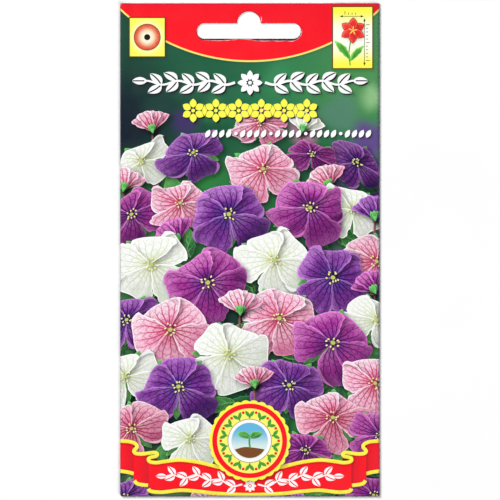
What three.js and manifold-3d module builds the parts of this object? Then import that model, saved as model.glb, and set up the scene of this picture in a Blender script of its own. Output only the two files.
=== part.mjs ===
// A paper seed packet lying on its back, in millimetres with +Z up.
// One printed sheet is folded at both sides and at the bottom, and glued along three films.
// The origin is under the packet's middle, and +Y runs to the end with the hang slot.
import * as THREE from 'three';
import { mergeVertices } from 'three/addons/utils/BufferGeometryUtils.js';
import Module from 'manifold-3d';

// The packet's outline and the sheet that it is folded from
const WIDTH = 80;
const HEIGHT = 152;
const PAPER = 0.15;
const GLUE = 0.1;
const LEFT = -WIDTH / 2;
const RIGHT = WIDTH / 2;
const BOTTOM = -HEIGHT / 2;
const TOP = HEIGHT / 2;

// Flaps on the back, and the free edge of the back panel inside the right fold
const SIDE_FLAP = 10;
const BOTTOM_FLAP = 12;
const FLAP_TAPER = 0.04;
const BACK_INSET = 0.8;

// Heights of the middle of the paper: lowest layer, one glued layer above it, front panel at its folds
const LOWEST = PAPER / 2;
const LAYER = PAPER + GLUE;
const FRONT_EDGE = 0.85;

// The chamber swells by this much over the seeds, and ends below the glued header
const SWELL = 2.3;
const SWELL_SQUARENESS = 2.6;
const SWELL_LOWNESS = 0.7;
const HEADER = 23;
const HEADER_START = TOP - HEADER;
const CHAMBER_END = HEADER_START - 2;
const RAMP = 5;

// The hang slot: a bar with round ends and a half-round dome on its upper side, punched a little off the middle
const SLOT_WIDTH = 32.1;
const SLOT_BAR = 4.8;
const SLOT_DOME_RADIUS = 3.65;
const SLOT_DROP = 8.55;
const SLOT_SHIFT = -0.35;

// Seeds: smooth nutlets, strewn over the lower half of the chamber
const SEED_COUNT = 50;
const SEED_LENGTH = 2.8;
const SEED_WIDTH = 1.8;
const SEED_THICKNESS = 1.4;
const SEED_SPACING = 3.1;
const SEED_REST = 0.1;
const SEED_FIELD = { left: -23, right: 20, bottom: BOTTOM + 21, top: BOTTOM + 68 };

// Steps round each fold, and the places of the grid lines across and along the packet
const FOLD_STEPS = 6;
const INNER_COLUMNS = [-39.4, -36, -33, -29, -24, -18, -12, -6, 0, 6, 12, 18, 24, 26.5, 29, 33, 36, 39.4];
const LOW_ROWS = [1.5, 3, 6, 9, 13, 15.5, 18];
const ROW_PITCH = 5.5;

const PRINTED_PAPER = new THREE.MeshStandardMaterial({ color: 0x9a5a86, roughness: 0.4, metalness: 0 });
const DRIED_GLUE = new THREE.MeshStandardMaterial({ color: 0xe9e4d2, roughness: 0.5, metalness: 0 });
const SEED_COAT = new THREE.MeshStandardMaterial({ color: 0x5a4030, roughness: 0.6, metalness: 0 });

const rise = THREE.MathUtils.smoothstep;

// Height of whatever lies just above the bottom flap: it comes down to the table past the flap's free edge.
function overBottomFlap(y) {
  const edge = BOTTOM + BOTTOM_FLAP + 1;
  return LAYER * (1 - rise(y, edge, edge + RAMP));
}

// Height of the back panel's middle, which rides up over both flaps.
function backHeight(x, y) {
  const edge = RIGHT - SIDE_FLAP - 1;
  return LOWEST + overBottomFlap(y) + LAYER * rise(x, edge - RAMP, edge);
}

// Height of the side flap's middle.
function sideFlapHeight(y) {
  return LOWEST + overBottomFlap(y);
}

// Height that the seeds push the front panel up by.
function swell(x, y) {
  const start = BOTTOM + PAPER / 2 + (FRONT_EDGE - LOWEST) / 2;
  const across = Math.min(Math.abs(x) / (RIGHT - 1), 1);
  const along = THREE.MathUtils.clamp((y - start) / (CHAMBER_END - start), 0, 1);
  return SWELL * (1 - across ** SWELL_SQUARENESS) * Math.sin(Math.PI * along ** SWELL_LOWNESS);
}

// Height of the front panel's middle: level at the folds, swollen over the seeds, pressed down on the header's glue.
function frontHeight(x, y) {
  const pressed = rise(y, HEADER_START - 7, HEADER_START) * rise(RIGHT - Math.abs(x), 1.2, 4);
  return THREE.MathUtils.lerp(FRONT_EDGE + swell(x, y), backHeight(x, y) + LAYER, pressed);
}

// A point of the sheet's middle, with the way to its printed face.
function middlePoint(x, y, z, outX, outY, outZ) {
  return { place: new THREE.Vector3(x, y, z), out: new THREE.Vector3(outX, outY, outZ) };
}

// A point on a fold that turns from the lower layer up to the front, side -1 at the left and 1 at the right.
function sideFoldPoint(side, lower, upper, y, turn) {
  const radius = (upper - lower) / 2;
  const angle = Math.PI * (turn - 0.5);
  const centre = side * (RIGHT - PAPER / 2 - radius);
  const [out, up] = [side * Math.cos(angle), Math.sin(angle)];
  return middlePoint(centre + radius * out, y, (lower + upper) / 2 + radius * up, out, 0, up);
}

// The grid lines along the packet, from the end of the bottom fold to the top edge.
function rowPlaces() {
  const foldRadius = (FRONT_EDGE - LOWEST) / 2;
  const low = LOW_ROWS.map((drop) => BOTTOM + drop);
  const start = low.at(-1);
  const count = Math.round((HEADER_START - start) / ROW_PITCH);
  const chamber = Array.from({ length: count }, (_, i) => start + ((HEADER_START - start) * (i + 1)) / count);
  return [BOTTOM + PAPER / 2 + foldRadius, ...low, ...chamber, TOP - 1, TOP];
}

// The sheet's columns in order along its unfolded width, each a function of the row's y that gives a point.
function sheetColumns() {
  const columns = [];
  const add = (part, point) => columns.push({ part, point });
  const foldTurns = Array.from({ length: FOLD_STEPS - 1 }, (_, i) => (i + 1) / FOLD_STEPS);
  const foldEnd = (lower) => RIGHT - PAPER / 2 - (FRONT_EDGE - lower) / 2;
  const fromRight = [RIGHT - BACK_INSET, ...INNER_COLUMNS.filter((x) => x < RIGHT - BACK_INSET).reverse()];
  for (const x of fromRight)
    add('back', (y) => middlePoint(x, y, backHeight(x, y), 0, 0, -1));
  add('back', (y) => sideFoldPoint(-1, backHeight(LEFT, y), FRONT_EDGE, y, 0));
  for (const turn of foldTurns)
    add('leftFold', (y) => sideFoldPoint(-1, backHeight(LEFT, y), FRONT_EDGE, y, turn));
  add('front', (y) => middlePoint(-foldEnd(backHeight(LEFT, y)), y, FRONT_EDGE, 0, 0, 1));
  for (const x of INNER_COLUMNS)
    add('front', (y) => middlePoint(x, y, frontHeight(x, y), 0, 0, 1));
  add('front', (y) => middlePoint(foldEnd(sideFlapHeight(y)), y, FRONT_EDGE, 0, 0, 1));
  for (const turn of foldTurns)
    add('rightFold', (y) => sideFoldPoint(1, sideFlapHeight(y), FRONT_EDGE, y, 1 - turn));
  add('sideFlap', (y) => sideFoldPoint(1, sideFlapHeight(y), FRONT_EDGE, y, 0));
  for (const reach of [0.4, 0.7, 1])
    add('sideFlap', (y) => {
      const tapered = y * (1 - FLAP_TAPER * reach);
      return middlePoint(foldEnd(LOWEST) - reach * SIDE_FLAP, tapered, sideFlapHeight(tapered), 0, 0, -1);
    });
  return columns;
}

// The rows below the front panel: round the bottom fold, then along the bottom flap.
function bottomRows() {
  const radius = (FRONT_EDGE - LOWEST) / 2;
  const [y, z] = [BOTTOM + PAPER / 2 + radius, LOWEST + radius];
  const rows = [];
  for (let step = 1; step <= FOLD_STEPS; step++) {
    const angle = Math.PI * (0.5 + step / FOLD_STEPS);
    const [out, up] = [Math.cos(angle), Math.sin(angle)];
    rows.push((x) => middlePoint(x, y + radius * out, z + radius * up, 0, out, up));
  }
  for (const reach of [0.35, 0.7, 1])
    rows.push((x) => middlePoint(x * (1 - FLAP_TAPER * reach), y + reach * BOTTOM_FLAP, LOWEST, 0, 0, -1));
  return rows;
}

// Closed geometry from cells of grid points, as thick as the paper. A cell lists its corners anticlockwise
// as seen from the printed face.
function thickSheet(points, cells) {
  const positions = [];
  for (const { place, out } of points)
    for (const side of [1, -1]) positions.push(...place.clone().addScaledVector(out, (side * PAPER) / 2));
  const [printed, plain] = [(i) => 2 * i, (i) => 2 * i + 1];
  const index = [];
  const edges = new Map();
  for (const [a, b, c, d] of cells) {
    index.push(printed(a), printed(b), printed(c), printed(a), printed(c), printed(d));
    index.push(plain(a), plain(c), plain(b), plain(a), plain(d), plain(c));
    for (const [from, to] of [[a, b], [b, c], [c, d], [d, a]])
      if (!edges.delete(`${to} ${from}`)) edges.set(`${from} ${to}`, [from, to]);
  }
  for (const [from, to] of edges.values())
    index.push(printed(to), printed(from), plain(from), printed(to), plain(from), plain(to));
  const geometry = new THREE.BufferGeometry();
  geometry.setAttribute('position', new THREE.Float32BufferAttribute(positions, 3));
  geometry.setIndex(index);
  return geometry;
}

// The whole folded sheet: back panel, left fold, front panel, right fold, side flap, bottom fold and flap.
function foldedSheet() {
  const columns = sheetColumns();
  const rows = rowPlaces();
  const points = [];
  const pointAt = new Map();
  const grid = (column, row) => {
    const key = `${column} ${row}`;
    if (!pointAt.has(key)) pointAt.set(key, points.push(columns[column].point(rows[row])) - 1);
    return pointAt.get(key);
  };
  const cells = [];
  const cell = (column, row) =>
    cells.push([grid(column, row), grid(column + 1, row), grid(column + 1, row + 1), grid(column, row + 1)]);
  for (let row = 0; row < rows.length - 1; row++)
    for (let column = 0; column < columns.length - 1; column++) cell(column, row);

  // The bottom flap hangs on the front panel's lowest row, one column in from each side fold.
  const front = columns.flatMap((entry, i) => (entry.part === 'front' ? [i] : []));
  let above = front.slice(1, -1).map((column) => grid(column, 0));
  const places = above.map((i) => points[i].place.x);
  for (const row of bottomRows()) {
    const below = places.map((x) => points.push(row(x)) - 1);
    for (let i = 0; i < below.length - 1; i++) cells.push([below[i], below[i + 1], above[i + 1], above[i]]);
    above = below;
  }
  return thickSheet(points, cells);
}

// A prism through all layers, with the outline of the hang slot.
function slotPrism() {
  const half = SLOT_BAR / 2;
  const end = SLOT_WIDTH / 2 - half;
  const [x, y] = [SLOT_SHIFT, TOP - SLOT_DROP];
  const outline = new THREE.Shape();
  outline.absarc(x + end, y, half, -Math.PI / 2, Math.PI / 2, false);
  outline.absarc(x, y + half, SLOT_DOME_RADIUS, 0, Math.PI, false);
  outline.absarc(x - end, y, half, Math.PI / 2, (3 * Math.PI) / 2, false);
  const prism = new THREE.ExtrudeGeometry(outline, { depth: 6, bevelEnabled: false, curveSegments: 10 });
  return prism.translate(0, 0, -3);
}

// A flat film of dried glue between two layers.
function glueFilm(left, right, bottom, top, floor) {
  const film = new THREE.BoxGeometry(right - left, top - bottom, GLUE);
  return film.translate((left + right) / 2, (bottom + top) / 2, floor + GLUE / 2);
}

const wasm = await Module();
wasm.setup();

// A closed geometry as a solid that can be cut.
function solid(geometry) {
  const bare = geometry.clone();
  for (const name of ['normal', 'uv']) bare.deleteAttribute(name);
  const merged = mergeVertices(bare, 1e-4);
  return new wasm.Manifold(
    new wasm.Mesh({
      numProp: 3,
      vertProperties: new Float32Array(merged.attributes.position.array),
      triVerts: new Uint32Array(merged.index.array),
    }),
  );
}

// Geometry with the hang slot punched out.
function punched(geometry) {
  const mesh = solid(geometry).subtract(solid(slotPrism())).getMesh();
  const made = new THREE.BufferGeometry();
  made.setAttribute('position', new THREE.Float32BufferAttribute(mesh.vertProperties, 3));
  made.setIndex([...mesh.triVerts]);
  return made;
}

// Numbers from 0 to 1 that are the same on each run.
function seededRandom(state) {
  return () => {
    state = (state + 0x6d2b79f5) | 0;
    let mixed = Math.imul(state ^ (state >>> 15), 1 | state);
    mixed = (mixed + Math.imul(mixed ^ (mixed >>> 7), 61 | mixed)) ^ mixed;
    return ((mixed ^ (mixed >>> 14)) >>> 0) / 4294967296;
  };
}

// One nutlet along X: an egg with a blunt end and a pointed end, faintly three-sided.
function seedGeometry() {
  const geometry = new THREE.IcosahedronGeometry(1, 1);
  const position = geometry.attributes.position;
  const point = new THREE.Vector3();
  for (let i = 0; i < position.count; i++) {
    point.fromBufferAttribute(position, i);
    const turn = Math.atan2(point.z, point.y);
    const girth = (1 - 0.16 * point.x) * (1 + 0.05 * Math.cos(3 * turn));
    point.set((point.x * SEED_LENGTH) / 2, (point.y * girth * SEED_WIDTH) / 2, (point.z * girth * SEED_THICKNESS) / 2);
    position.setXYZ(i, point.x, point.y, point.z);
  }
  return geometry;
}

// Places for the seeds: drawn one by one, thicker towards the bottom, and kept only where clear of the rest.
function seedPlaces(random) {
  const places = [];
  while (places.length < SEED_COUNT) {
    const x = THREE.MathUtils.lerp(SEED_FIELD.left, SEED_FIELD.right, random());
    const y = THREE.MathUtils.lerp(SEED_FIELD.bottom, SEED_FIELD.top, random() ** 1.5);
    const place = new THREE.Vector2(x, y);
    if (places.every((other) => other.distanceTo(place) > SEED_SPACING)) places.push(place);
  }
  return places;
}

const packet = new THREE.Group();

function addMesh(name, geometry, material) {
  const mesh = new THREE.Mesh(geometry, material);
  mesh.name = name;
  packet.add(mesh);
  return mesh;
}

addMesh('packet_paper', punched(foldedSheet()), PRINTED_PAPER);

const flapEdge = RIGHT - SIDE_FLAP;
addMesh('side_seam_glue', glueFilm(flapEdge + 1.5, RIGHT - 2, BOTTOM + 19, TOP - 4, PAPER), DRIED_GLUE);
addMesh('bottom_flap_glue', glueFilm(LEFT + 4, RIGHT - 4, BOTTOM + 2, BOTTOM + BOTTOM_FLAP - 1, PAPER), DRIED_GLUE);
addMesh('header_glue', punched(glueFilm(LEFT + 4.2, 23, HEADER_START, TOP - 1.5, PAPER)), DRIED_GLUE);
addMesh('header_side_glue', glueFilm(flapEdge, RIGHT - 4.2, HEADER_START, TOP - 1.5, PAPER + LAYER), DRIED_GLUE);

const random = seededRandom(7);
seedPlaces(random).forEach((place, i) => {
  const seed = addMesh(`seed_${String(i + 1).padStart(2, '0')}`, seedGeometry(), SEED_COAT);
  seed.rotation.set((random() - 0.5) * 0.5, 0, random() * 2 * Math.PI, 'ZYX');
  seed.updateMatrixWorld(true);
  const lowest = new THREE.Box3().setFromObject(seed, true).min.z;
  seed.position.set(place.x, place.y, PAPER + SEED_REST - lowest);
});

export default packet;
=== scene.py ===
"""A flat paper seed packet with a hang slot: the folded printed sheet, its glue and its seeds, on a floor.

The print is drawn as shapes on the flat sheet, in millimetres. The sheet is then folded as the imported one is.
"""

import logging
import math
from collections.abc import Callable, Iterable, Sequence
from dataclasses import dataclass, field
from enum import Enum

import bpy
import numpy as np
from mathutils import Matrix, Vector, geometry, kdtree


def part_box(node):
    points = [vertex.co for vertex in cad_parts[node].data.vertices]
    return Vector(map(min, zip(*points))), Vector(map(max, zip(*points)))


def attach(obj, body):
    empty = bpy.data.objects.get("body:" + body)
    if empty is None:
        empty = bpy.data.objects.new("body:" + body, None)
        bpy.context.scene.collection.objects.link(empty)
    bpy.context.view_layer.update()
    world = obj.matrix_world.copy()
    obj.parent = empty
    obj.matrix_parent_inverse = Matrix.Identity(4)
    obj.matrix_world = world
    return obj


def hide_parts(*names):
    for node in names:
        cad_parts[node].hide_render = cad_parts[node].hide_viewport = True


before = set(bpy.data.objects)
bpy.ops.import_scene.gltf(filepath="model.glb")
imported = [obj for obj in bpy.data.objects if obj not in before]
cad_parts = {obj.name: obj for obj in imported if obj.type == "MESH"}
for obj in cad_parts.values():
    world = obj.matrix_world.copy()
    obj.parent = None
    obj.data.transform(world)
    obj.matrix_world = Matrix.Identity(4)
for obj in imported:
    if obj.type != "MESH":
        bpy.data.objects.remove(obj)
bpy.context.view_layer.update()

Points = np.ndarray
Colour = np.ndarray
Place = tuple[float, float]
Box = tuple[float, float, float, float]
Spot = tuple[float, float, float, tuple[int, int, int]]
Socket = bpy.types.NodeSocket
Look = dict[str | int, object]

MM = 0.001
TURN = math.tau
LOG = logging.getLogger("seed_packet")


# Small helpers for numbers, colours and outlines


def rise(low: float, high: float, value: np.ndarray | float) -> np.ndarray:
    """Smooth step of a value, from 0 at low to 1 at high."""
    share = np.clip((value - low) / (high - low), 0.0, 1.0)
    return share * share * (3.0 - 2.0 * share)


def tone(red: float, green: float, blue: float) -> Colour:
    """Linear colour of a tone given as 0 to 255 screen values."""
    share = np.array([red, green, blue], float) / 255.0
    return np.where(share <= 0.04045, share / 12.92, ((share + 0.055) / 1.055) ** 2.4)


def blend(first: Colour, second: Colour, share: np.ndarray) -> Colour:
    """Colours between first and second, one for each share from 0 to 1."""
    weight = np.asarray(share, float)[..., None]
    return first * (1.0 - weight) + second * weight


def turned(angle: float) -> np.ndarray:
    """Matrix that turns points of a plane by an angle in radians."""
    return np.array([[math.cos(angle), -math.sin(angle)], [math.sin(angle), math.cos(angle)]])


def pointer(angle: float) -> Points:
    """Unit vector at an angle in radians."""
    return np.array([math.cos(angle), math.sin(angle)])


def arc(angles: np.ndarray) -> Points:
    """Points of the unit circle at angles in radians."""
    return np.column_stack([np.cos(angles), np.sin(angles)])


def round_outline(centre: Sequence[float], radius: float, sides: int = 40) -> Points:
    """Outline of a disc."""
    return np.array(centre) + radius * arc(np.linspace(0.0, TURN, sides, endpoint=False))


def box_outline(left: float, right: float, bottom: float, top: float) -> Points:
    """Outline of an upright rectangle."""
    return np.array([[left, bottom], [right, bottom], [right, top], [left, top]], float)


def resampled(outline: Points, step: float, closed: bool = True) -> Points:
    """Splits the long sides of an outline.

    Args:
        outline: Corners in order.
        step: Longest side that is left.
        closed: Whether the last corner joins the first.

    Returns:
        The corners with the added points between them.
    """
    ends = np.roll(outline, -1, axis=0) if closed else outline[1:]
    starts = outline if closed else outline[:-1]
    pieces = []
    for start, end in zip(starts, ends):
        count = max(1, math.ceil(np.linalg.norm(end - start) / step))
        shares = np.arange(count)[:, None] / count
        pieces.append(start + (end - start) * shares)
    if not closed:
        pieces.append(outline[-1:])
    return np.vstack(pieces)


def smooth_line(points: Sequence[Sequence[float]], step: float) -> Points:
    """Draws a smooth line through the given places.

    Args:
        points: The places that the line runs through.
        step: Rough distance between the points made.

    Returns:
        The line's points, from the first place to the last.
    """
    knots = np.array(points, float)
    padded = np.vstack([2 * knots[0] - knots[1], knots, 2 * knots[-1] - knots[-2]])
    made = []
    for before, start, end, after in zip(padded, padded[1:], padded[2:], padded[3:]):
        count = max(2, math.ceil(np.linalg.norm(end - start) / step))
        t = (np.arange(count) / count)[:, None]
        made.append(
            0.5 * (2 * start + (end - before) * t + (2 * before - 5 * start + 4 * end - after) * t**2
                   + (3 * start - before - 3 * end + after) * t**3)
        )
    return np.vstack([*made, knots[-1:]])


def stroke(line: Points, width: float | np.ndarray) -> Points:
    """Outlines a band that follows a line.

    Args:
        line: The band's middle.
        width: The band's width, the same all along or one for each point.

    Returns:
        The band's outline.
    """
    along = np.gradient(line, axis=0)
    along /= np.linalg.norm(along, axis=1, keepdims=True) + 1e-9
    across = np.column_stack([-along[:, 1], along[:, 0]]) * (np.broadcast_to(width, len(line))[:, None] / 2)
    return np.vstack([line + across, (line - across)[::-1]])


def off_line(points: Points, line: Points) -> Points:
    """Reads how far points lie off a line.

    Args:
        points: The places to read.
        line: The line's points.

    Returns:
        The offset of each place from the nearest point of the line.
    """
    offset = points[:, None, :] - line[None, :, :]
    nearest = (offset**2).sum(2).argmin(1)
    return offset[np.arange(len(points)), nearest]


def inside(points: Points, outline: Points) -> np.ndarray:
    """Tells which points lie inside a closed outline.

    Args:
        points: The points to test.
        outline: The outline's corners in order.

    Returns:
        True for each point inside.
    """
    low, high = outline.min(0), outline.max(0)
    near = np.all((points >= low) & (points <= high), axis=1)
    found = np.zeros(len(points), bool)
    if not near.any():
        return found
    x, y = points[near, 0][:, None], points[near, 1][:, None]
    start, end = outline, np.roll(outline, -1, axis=0)
    straddles = (start[:, 1] > y) != (end[:, 1] > y)
    drop = np.where(end[:, 1] == start[:, 1], 1e-12, end[:, 1] - start[:, 1])
    crossing = start[:, 0] + (y - start[:, 1]) * (end[:, 0] - start[:, 0]) / drop
    found[near] = np.count_nonzero(straddles & (x < crossing), axis=1) % 2 == 1
    return found


def depth_inside(points: Points, outline: Points) -> np.ndarray:
    """Measures how deep points lie inside a closed outline.

    Args:
        points: The points to measure.
        outline: The outline's corners in order.

    Returns:
        Each point's distance from the outline, above 0 inside it and below 0 outside.
    """
    side = np.roll(outline, -1, axis=0) - outline
    offset = points[:, None, :] - outline[None, :, :]
    length = np.maximum((side**2).sum(1), 1e-12)
    share = np.clip((offset * side).sum(2) / length, 0.0, 1.0)
    gap = np.sqrt(((offset - share[:, :, None] * side) ** 2).sum(2).min(1))
    return np.where(inside(points, outline), gap, -gap)


def clipped(outline: Points, low: Place, high: Place) -> Points:
    """Cuts an outline down to an upright rectangle.

    Args:
        outline: A closed outline.
        low: The rectangle's lowest corner.
        high: Its highest corner.

    Returns:
        The outline that is left, with no points where nothing is.
    """
    made = outline
    for axis, limit, sign in ((0, low[0], 1), (0, high[0], -1), (1, low[1], 1), (1, high[1], -1)):
        if not len(made):
            break
        kept = []
        for start, end in zip(made, np.roll(made, -1, axis=0)):
            first, second = sign * (start[axis] - limit), sign * (end[axis] - limit)
            if first >= 0:
                kept.append(start)
            if first * second < 0:
                kept.append(start + (end - start) * first / (first - second))
        made = np.array(kept)
    return made


# The folded sheet: from the flat sheet's millimetres to the packet


@dataclass(frozen=True)
class Crease:
    """A small crease or dent of the handled paper, in millimetres on the front panel."""

    start: Place
    end: Place
    depth: float
    width: float

    def height(self, x: np.ndarray, y: np.ndarray) -> np.ndarray:
        """Reads the crease's height, which fades towards both of its ends.

        Args:
            x: Places across the front panel.
            y: Places along it.

        Returns:
            The height at each place, below 0 where it is pressed in.
        """
        way = np.array(self.end) - np.array(self.start)
        length = np.linalg.norm(way)
        right, up = x - self.start[0], y - self.start[1]
        along = (right * way[0] + up * way[1]) / length**2
        aside = (right * way[1] - up * way[0]) / length
        fade = rise(0.0, 0.25, along) * (1.0 - rise(0.6, 1.0, along))
        return self.depth * fade * np.exp(-((aside / self.width) ** 2))


FRONT_CREASES = (
    Crease((-39.0, -74.0), (-24.0, -58.0), -0.10, 1.3),
    Crease((-39.0, -70.0), (-27.0, -52.0), 0.08, 1.6),
    Crease((39.0, -74.0), (23.0, -60.0), -0.10, 1.3),
    Crease((38.0, -66.0), (25.0, -50.0), 0.07, 1.8),
    Crease((-34.0, 49.0), (-20.0, 41.0), -0.09, 1.5),
    Crease((33.0, 50.0), (19.0, 43.0), -0.08, 1.5),
    Crease((-12.0, 48.0), (-8.0, 30.0), 0.06, 2.2),
    Crease((14.0, 48.0), (12.0, 28.0), -0.05, 2.4),
    Crease((-38.0, 10.0), (-26.0, 6.0), -0.05, 1.8),
    Crease((38.0, -12.0), (28.0, -18.0), 0.05, 1.8),
)


@dataclass(frozen=True)
class PacketForm:
    """Sizes of the folded sheet, in millimetres, and the way from the flat sheet to the packet.

    Places on the flat sheet are the packet's own x and y on the front panel, and run on over the folds.
    """

    width: float
    height: float
    paper: float = 0.15
    glue: float = 0.1
    side_flap: float = 10.0
    bottom_flap: float = 12.0
    flap_taper: float = 0.04
    flap_clear: float = 1.0
    back_inset: float = 0.8
    front_edge: float = 0.85
    swell: float = 2.3
    swell_squareness: float = 2.6
    swell_lowness: float = 0.7
    swell_inset: float = 1.0
    swell_stop: float = 2.0
    header: float = 23.0
    header_ramp: float = 7.0
    header_rim: Place = (1.2, 4.0)
    ramp: float = 5.0
    crease_rim: Place = (1.0, 4.0)
    drift_from: float = 36.0
    fold_steps: int = 8
    slot_width: float = 32.1
    slot_bar: float = 4.8
    slot_dome: float = 3.65
    slot_drop: float = 8.55
    slot_shift: float = -0.35
    slot_roughness: float = 0.015
    cut_step: float = 0.45
    corner: float = 0.3

    @property
    def right(self) -> float:
        """Right edge of the packet."""
        return self.width / 2

    @property
    def top(self) -> float:
        """Top edge of the packet."""
        return self.height / 2

    @property
    def lowest(self) -> float:
        """Height of the middle of the paper that lies on the floor."""
        return self.paper / 2

    @property
    def layer(self) -> float:
        """Rise from one glued layer to the next."""
        return self.paper + self.glue

    @property
    def fold_radius(self) -> float:
        """Radius of the folds, to the middle of the paper."""
        return (self.front_edge - self.lowest) / 2

    @property
    def fold_at(self) -> float:
        """Distance from the packet's middle to where a side fold starts."""
        return self.right - self.paper / 2 - self.fold_radius

    @property
    def fold_length(self) -> float:
        """Width of flat paper that a fold takes up."""
        return math.pi * self.fold_radius

    @property
    def bottom_fold(self) -> float:
        """Place along the sheet where the bottom fold starts."""
        return -self.top + self.paper / 2 + self.fold_radius

    @property
    def header_start(self) -> float:
        """Place along the sheet where the glued header starts."""
        return self.top - self.header

    @property
    def slot_middle(self) -> Points:
        """Middle of the hang slot's bar."""
        return np.array([self.slot_shift, self.top - self.slot_drop])

    def over_bottom_flap(self, y: np.ndarray) -> np.ndarray:
        """Lift of whatever lies just above the bottom flap."""
        edge = -self.top + self.bottom_flap + self.flap_clear
        return self.layer * (1.0 - rise(edge, edge + self.ramp, y))

    def back_height(self, x: np.ndarray, y: np.ndarray) -> np.ndarray:
        """Height of the middle of the back panel."""
        edge = self.right - self.side_flap - self.flap_clear
        return self.lowest + self.over_bottom_flap(y) + self.layer * rise(edge - self.ramp, edge, x)

    def side_flap_height(self, y: np.ndarray) -> np.ndarray:
        """Height of the middle of the side flap."""
        return self.lowest + self.over_bottom_flap(y)

    def swelling(self, x: np.ndarray, y: np.ndarray) -> np.ndarray:
        """Reads how far the seeds push the front panel up.

        Args:
            x: Places across the front panel.
            y: Places along it.

        Returns:
            The lift at each place.
        """
        across = np.minimum(np.abs(x) / (self.right - self.swell_inset), 1.0)
        reach = self.header_start - self.swell_stop - self.bottom_fold
        along = np.clip((y - self.bottom_fold) / reach, 0.0, 1.0)
        hump = np.sin(math.pi * along**self.swell_lowness)
        return self.swell * (1.0 - across**self.swell_squareness) * hump

    def front_height(self, x: np.ndarray, y: np.ndarray) -> np.ndarray:
        """Reads the height of the middle of the front panel.

        Args:
            x: Places across the front panel.
            y: Places along it.

        Returns:
            The height at each place: free and creased below, pressed on to the back at the glued header.
        """
        inset = self.right - np.abs(x)
        start = self.header_start
        pressed = rise(start - self.header_ramp, start, y) * rise(*self.header_rim, inset)
        creases = sum((crease.height(x, y) for crease in FRONT_CREASES), np.zeros_like(x))
        creases = creases * rise(*self.crease_rim, inset) * rise(*self.crease_rim, y + self.top)
        free = self.front_edge + self.swelling(x, y) + creases
        return free * (1.0 - pressed) + (self.back_height(x, y) + self.layer) * pressed

    def back_place(self, x: float | np.ndarray) -> float | np.ndarray:
        """Place across the flat sheet of a point of the back panel at x in the packet."""
        return -2.0 * self.fold_at - self.fold_length - x

    def middle(self, flat: Points) -> Points:
        """Folds points of the middle of the paper.

        Args:
            flat: Places on the flat sheet.

        Returns:
            Their places in the packet, in millimetres.
        """
        u, v = flat[:, 0], flat[:, 1]
        start, length = self.fold_at, self.fold_length
        made = np.column_stack([u, v, self.front_height(u, v)])
        left_back = self.back_height(np.full_like(v, -self.right), v)
        for side, lower in ((-1, left_back), (1, self.side_flap_height(v))):
            radius = (self.front_edge - lower) / 2
            shift = start - (self.right - self.paper / 2 - radius)
            turn = (side * u - start) / length
            angle = math.pi * (0.5 - np.clip(turn, 0.0, 1.0))
            on_fold = (turn >= 0) & (turn <= 1)
            made[on_fold, 0] = (side * (start - shift + radius * np.cos(angle)))[on_fold]
            made[on_fold, 2] = ((self.front_edge + lower) / 2 + radius * np.sin(angle))[on_fold]
            near_fold = (turn < 0) & (side * u > 0)
            made[near_fold, 0] -= (side * shift * rise(self.drift_from, start, side * u))[near_fold]
        back = u < -(start + length)
        x = self.back_place(u[back])
        made[back] = np.column_stack([x, v[back], self.back_height(x, v[back])])
        flap = u > start + length
        made[flap, 0] = 2.0 * start + length - u[flap]
        made[flap, 2] = self.side_flap_height(v[flap])
        low = v < self.bottom_fold
        angle = math.pi * (0.5 + np.clip((self.bottom_fold - v) / length, 0.0, 1.0))
        past = np.maximum(self.bottom_fold - length - v, 0.0)
        made[low, 1] = (self.bottom_fold + self.fold_radius * np.cos(angle) + past)[low]
        bottom = self.lowest + self.fold_radius + self.fold_radius * np.sin(angle)
        made[low, 2] = np.minimum(made[:, 2], bottom)[low]
        return made

    def facing(self, flat: Points) -> Points:
        """Finds the way out of the printed face.

        Args:
            flat: Places on the flat sheet.

        Returns:
            A unit vector in the packet for each place.
        """
        reach = 0.05
        across = self.middle(flat + (reach, 0)) - self.middle(flat - (reach, 0))
        along = self.middle(flat + (0, reach)) - self.middle(flat - (0, reach))
        out = np.cross(across, along)
        return out / np.linalg.norm(out, axis=1, keepdims=True)

    def slot_outline(self) -> Points:
        """Outlines the hang slot on the front panel, a little rough from the punch.

        Returns:
            The outline, anticlockwise.
        """
        half = self.slot_bar / 2
        end = self.slot_width / 2 - half
        turns = np.linspace(0.0, math.pi, 14)[:, None]
        side = np.hstack([np.sin(turns), -np.cos(turns)]) * half
        dome = np.hstack([np.cos(turns), np.sin(turns)]) * self.slot_dome
        corners = np.vstack([side + (end, 0.0), dome + (0.0, half), -side + (-end, 0.0)])
        outline = resampled(corners + self.slot_middle, self.cut_step)
        return outline + np.random.default_rng(5).normal(0.0, self.slot_roughness, outline.shape)

    def sheet_outline(self) -> Points:
        """Outlines the flat sheet, with a round corner between the side and bottom folds.

        Returns:
            The outline, anticlockwise.
        """
        fold, length, low = self.fold_at, self.fold_length, self.bottom_fold
        narrowed = 1.0 - self.flap_taper
        past_fold = fold + length
        edge = past_fold + self.side_flap
        back_edge = self.back_place(self.right - self.back_inset)
        turns = np.linspace(-math.pi / 2, 0.0, 5)
        corner = [(fold + self.corner * math.cos(turn), low + self.corner * math.sin(turn)) for turn in turns]
        tip = (fold * narrowed, low - length - self.bottom_flap)
        right_half = [tip, (fold, low - length), *corner, (past_fold, low)]
        flap = [(edge, low * narrowed), (edge, self.top * narrowed), (past_fold, self.top)]
        left_half = [(-x, y) for x, y in reversed(right_half)]
        return np.array([*right_half, *flap, (back_edge, self.top), (back_edge, low), *left_half])


# Printed shapes

# The margin's distance in ink without one, in millimetres, and where the light in the print comes from
FAR_OFF = 9.0
PRINT_LIGHT = np.array([-0.6, 0.8])


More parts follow.
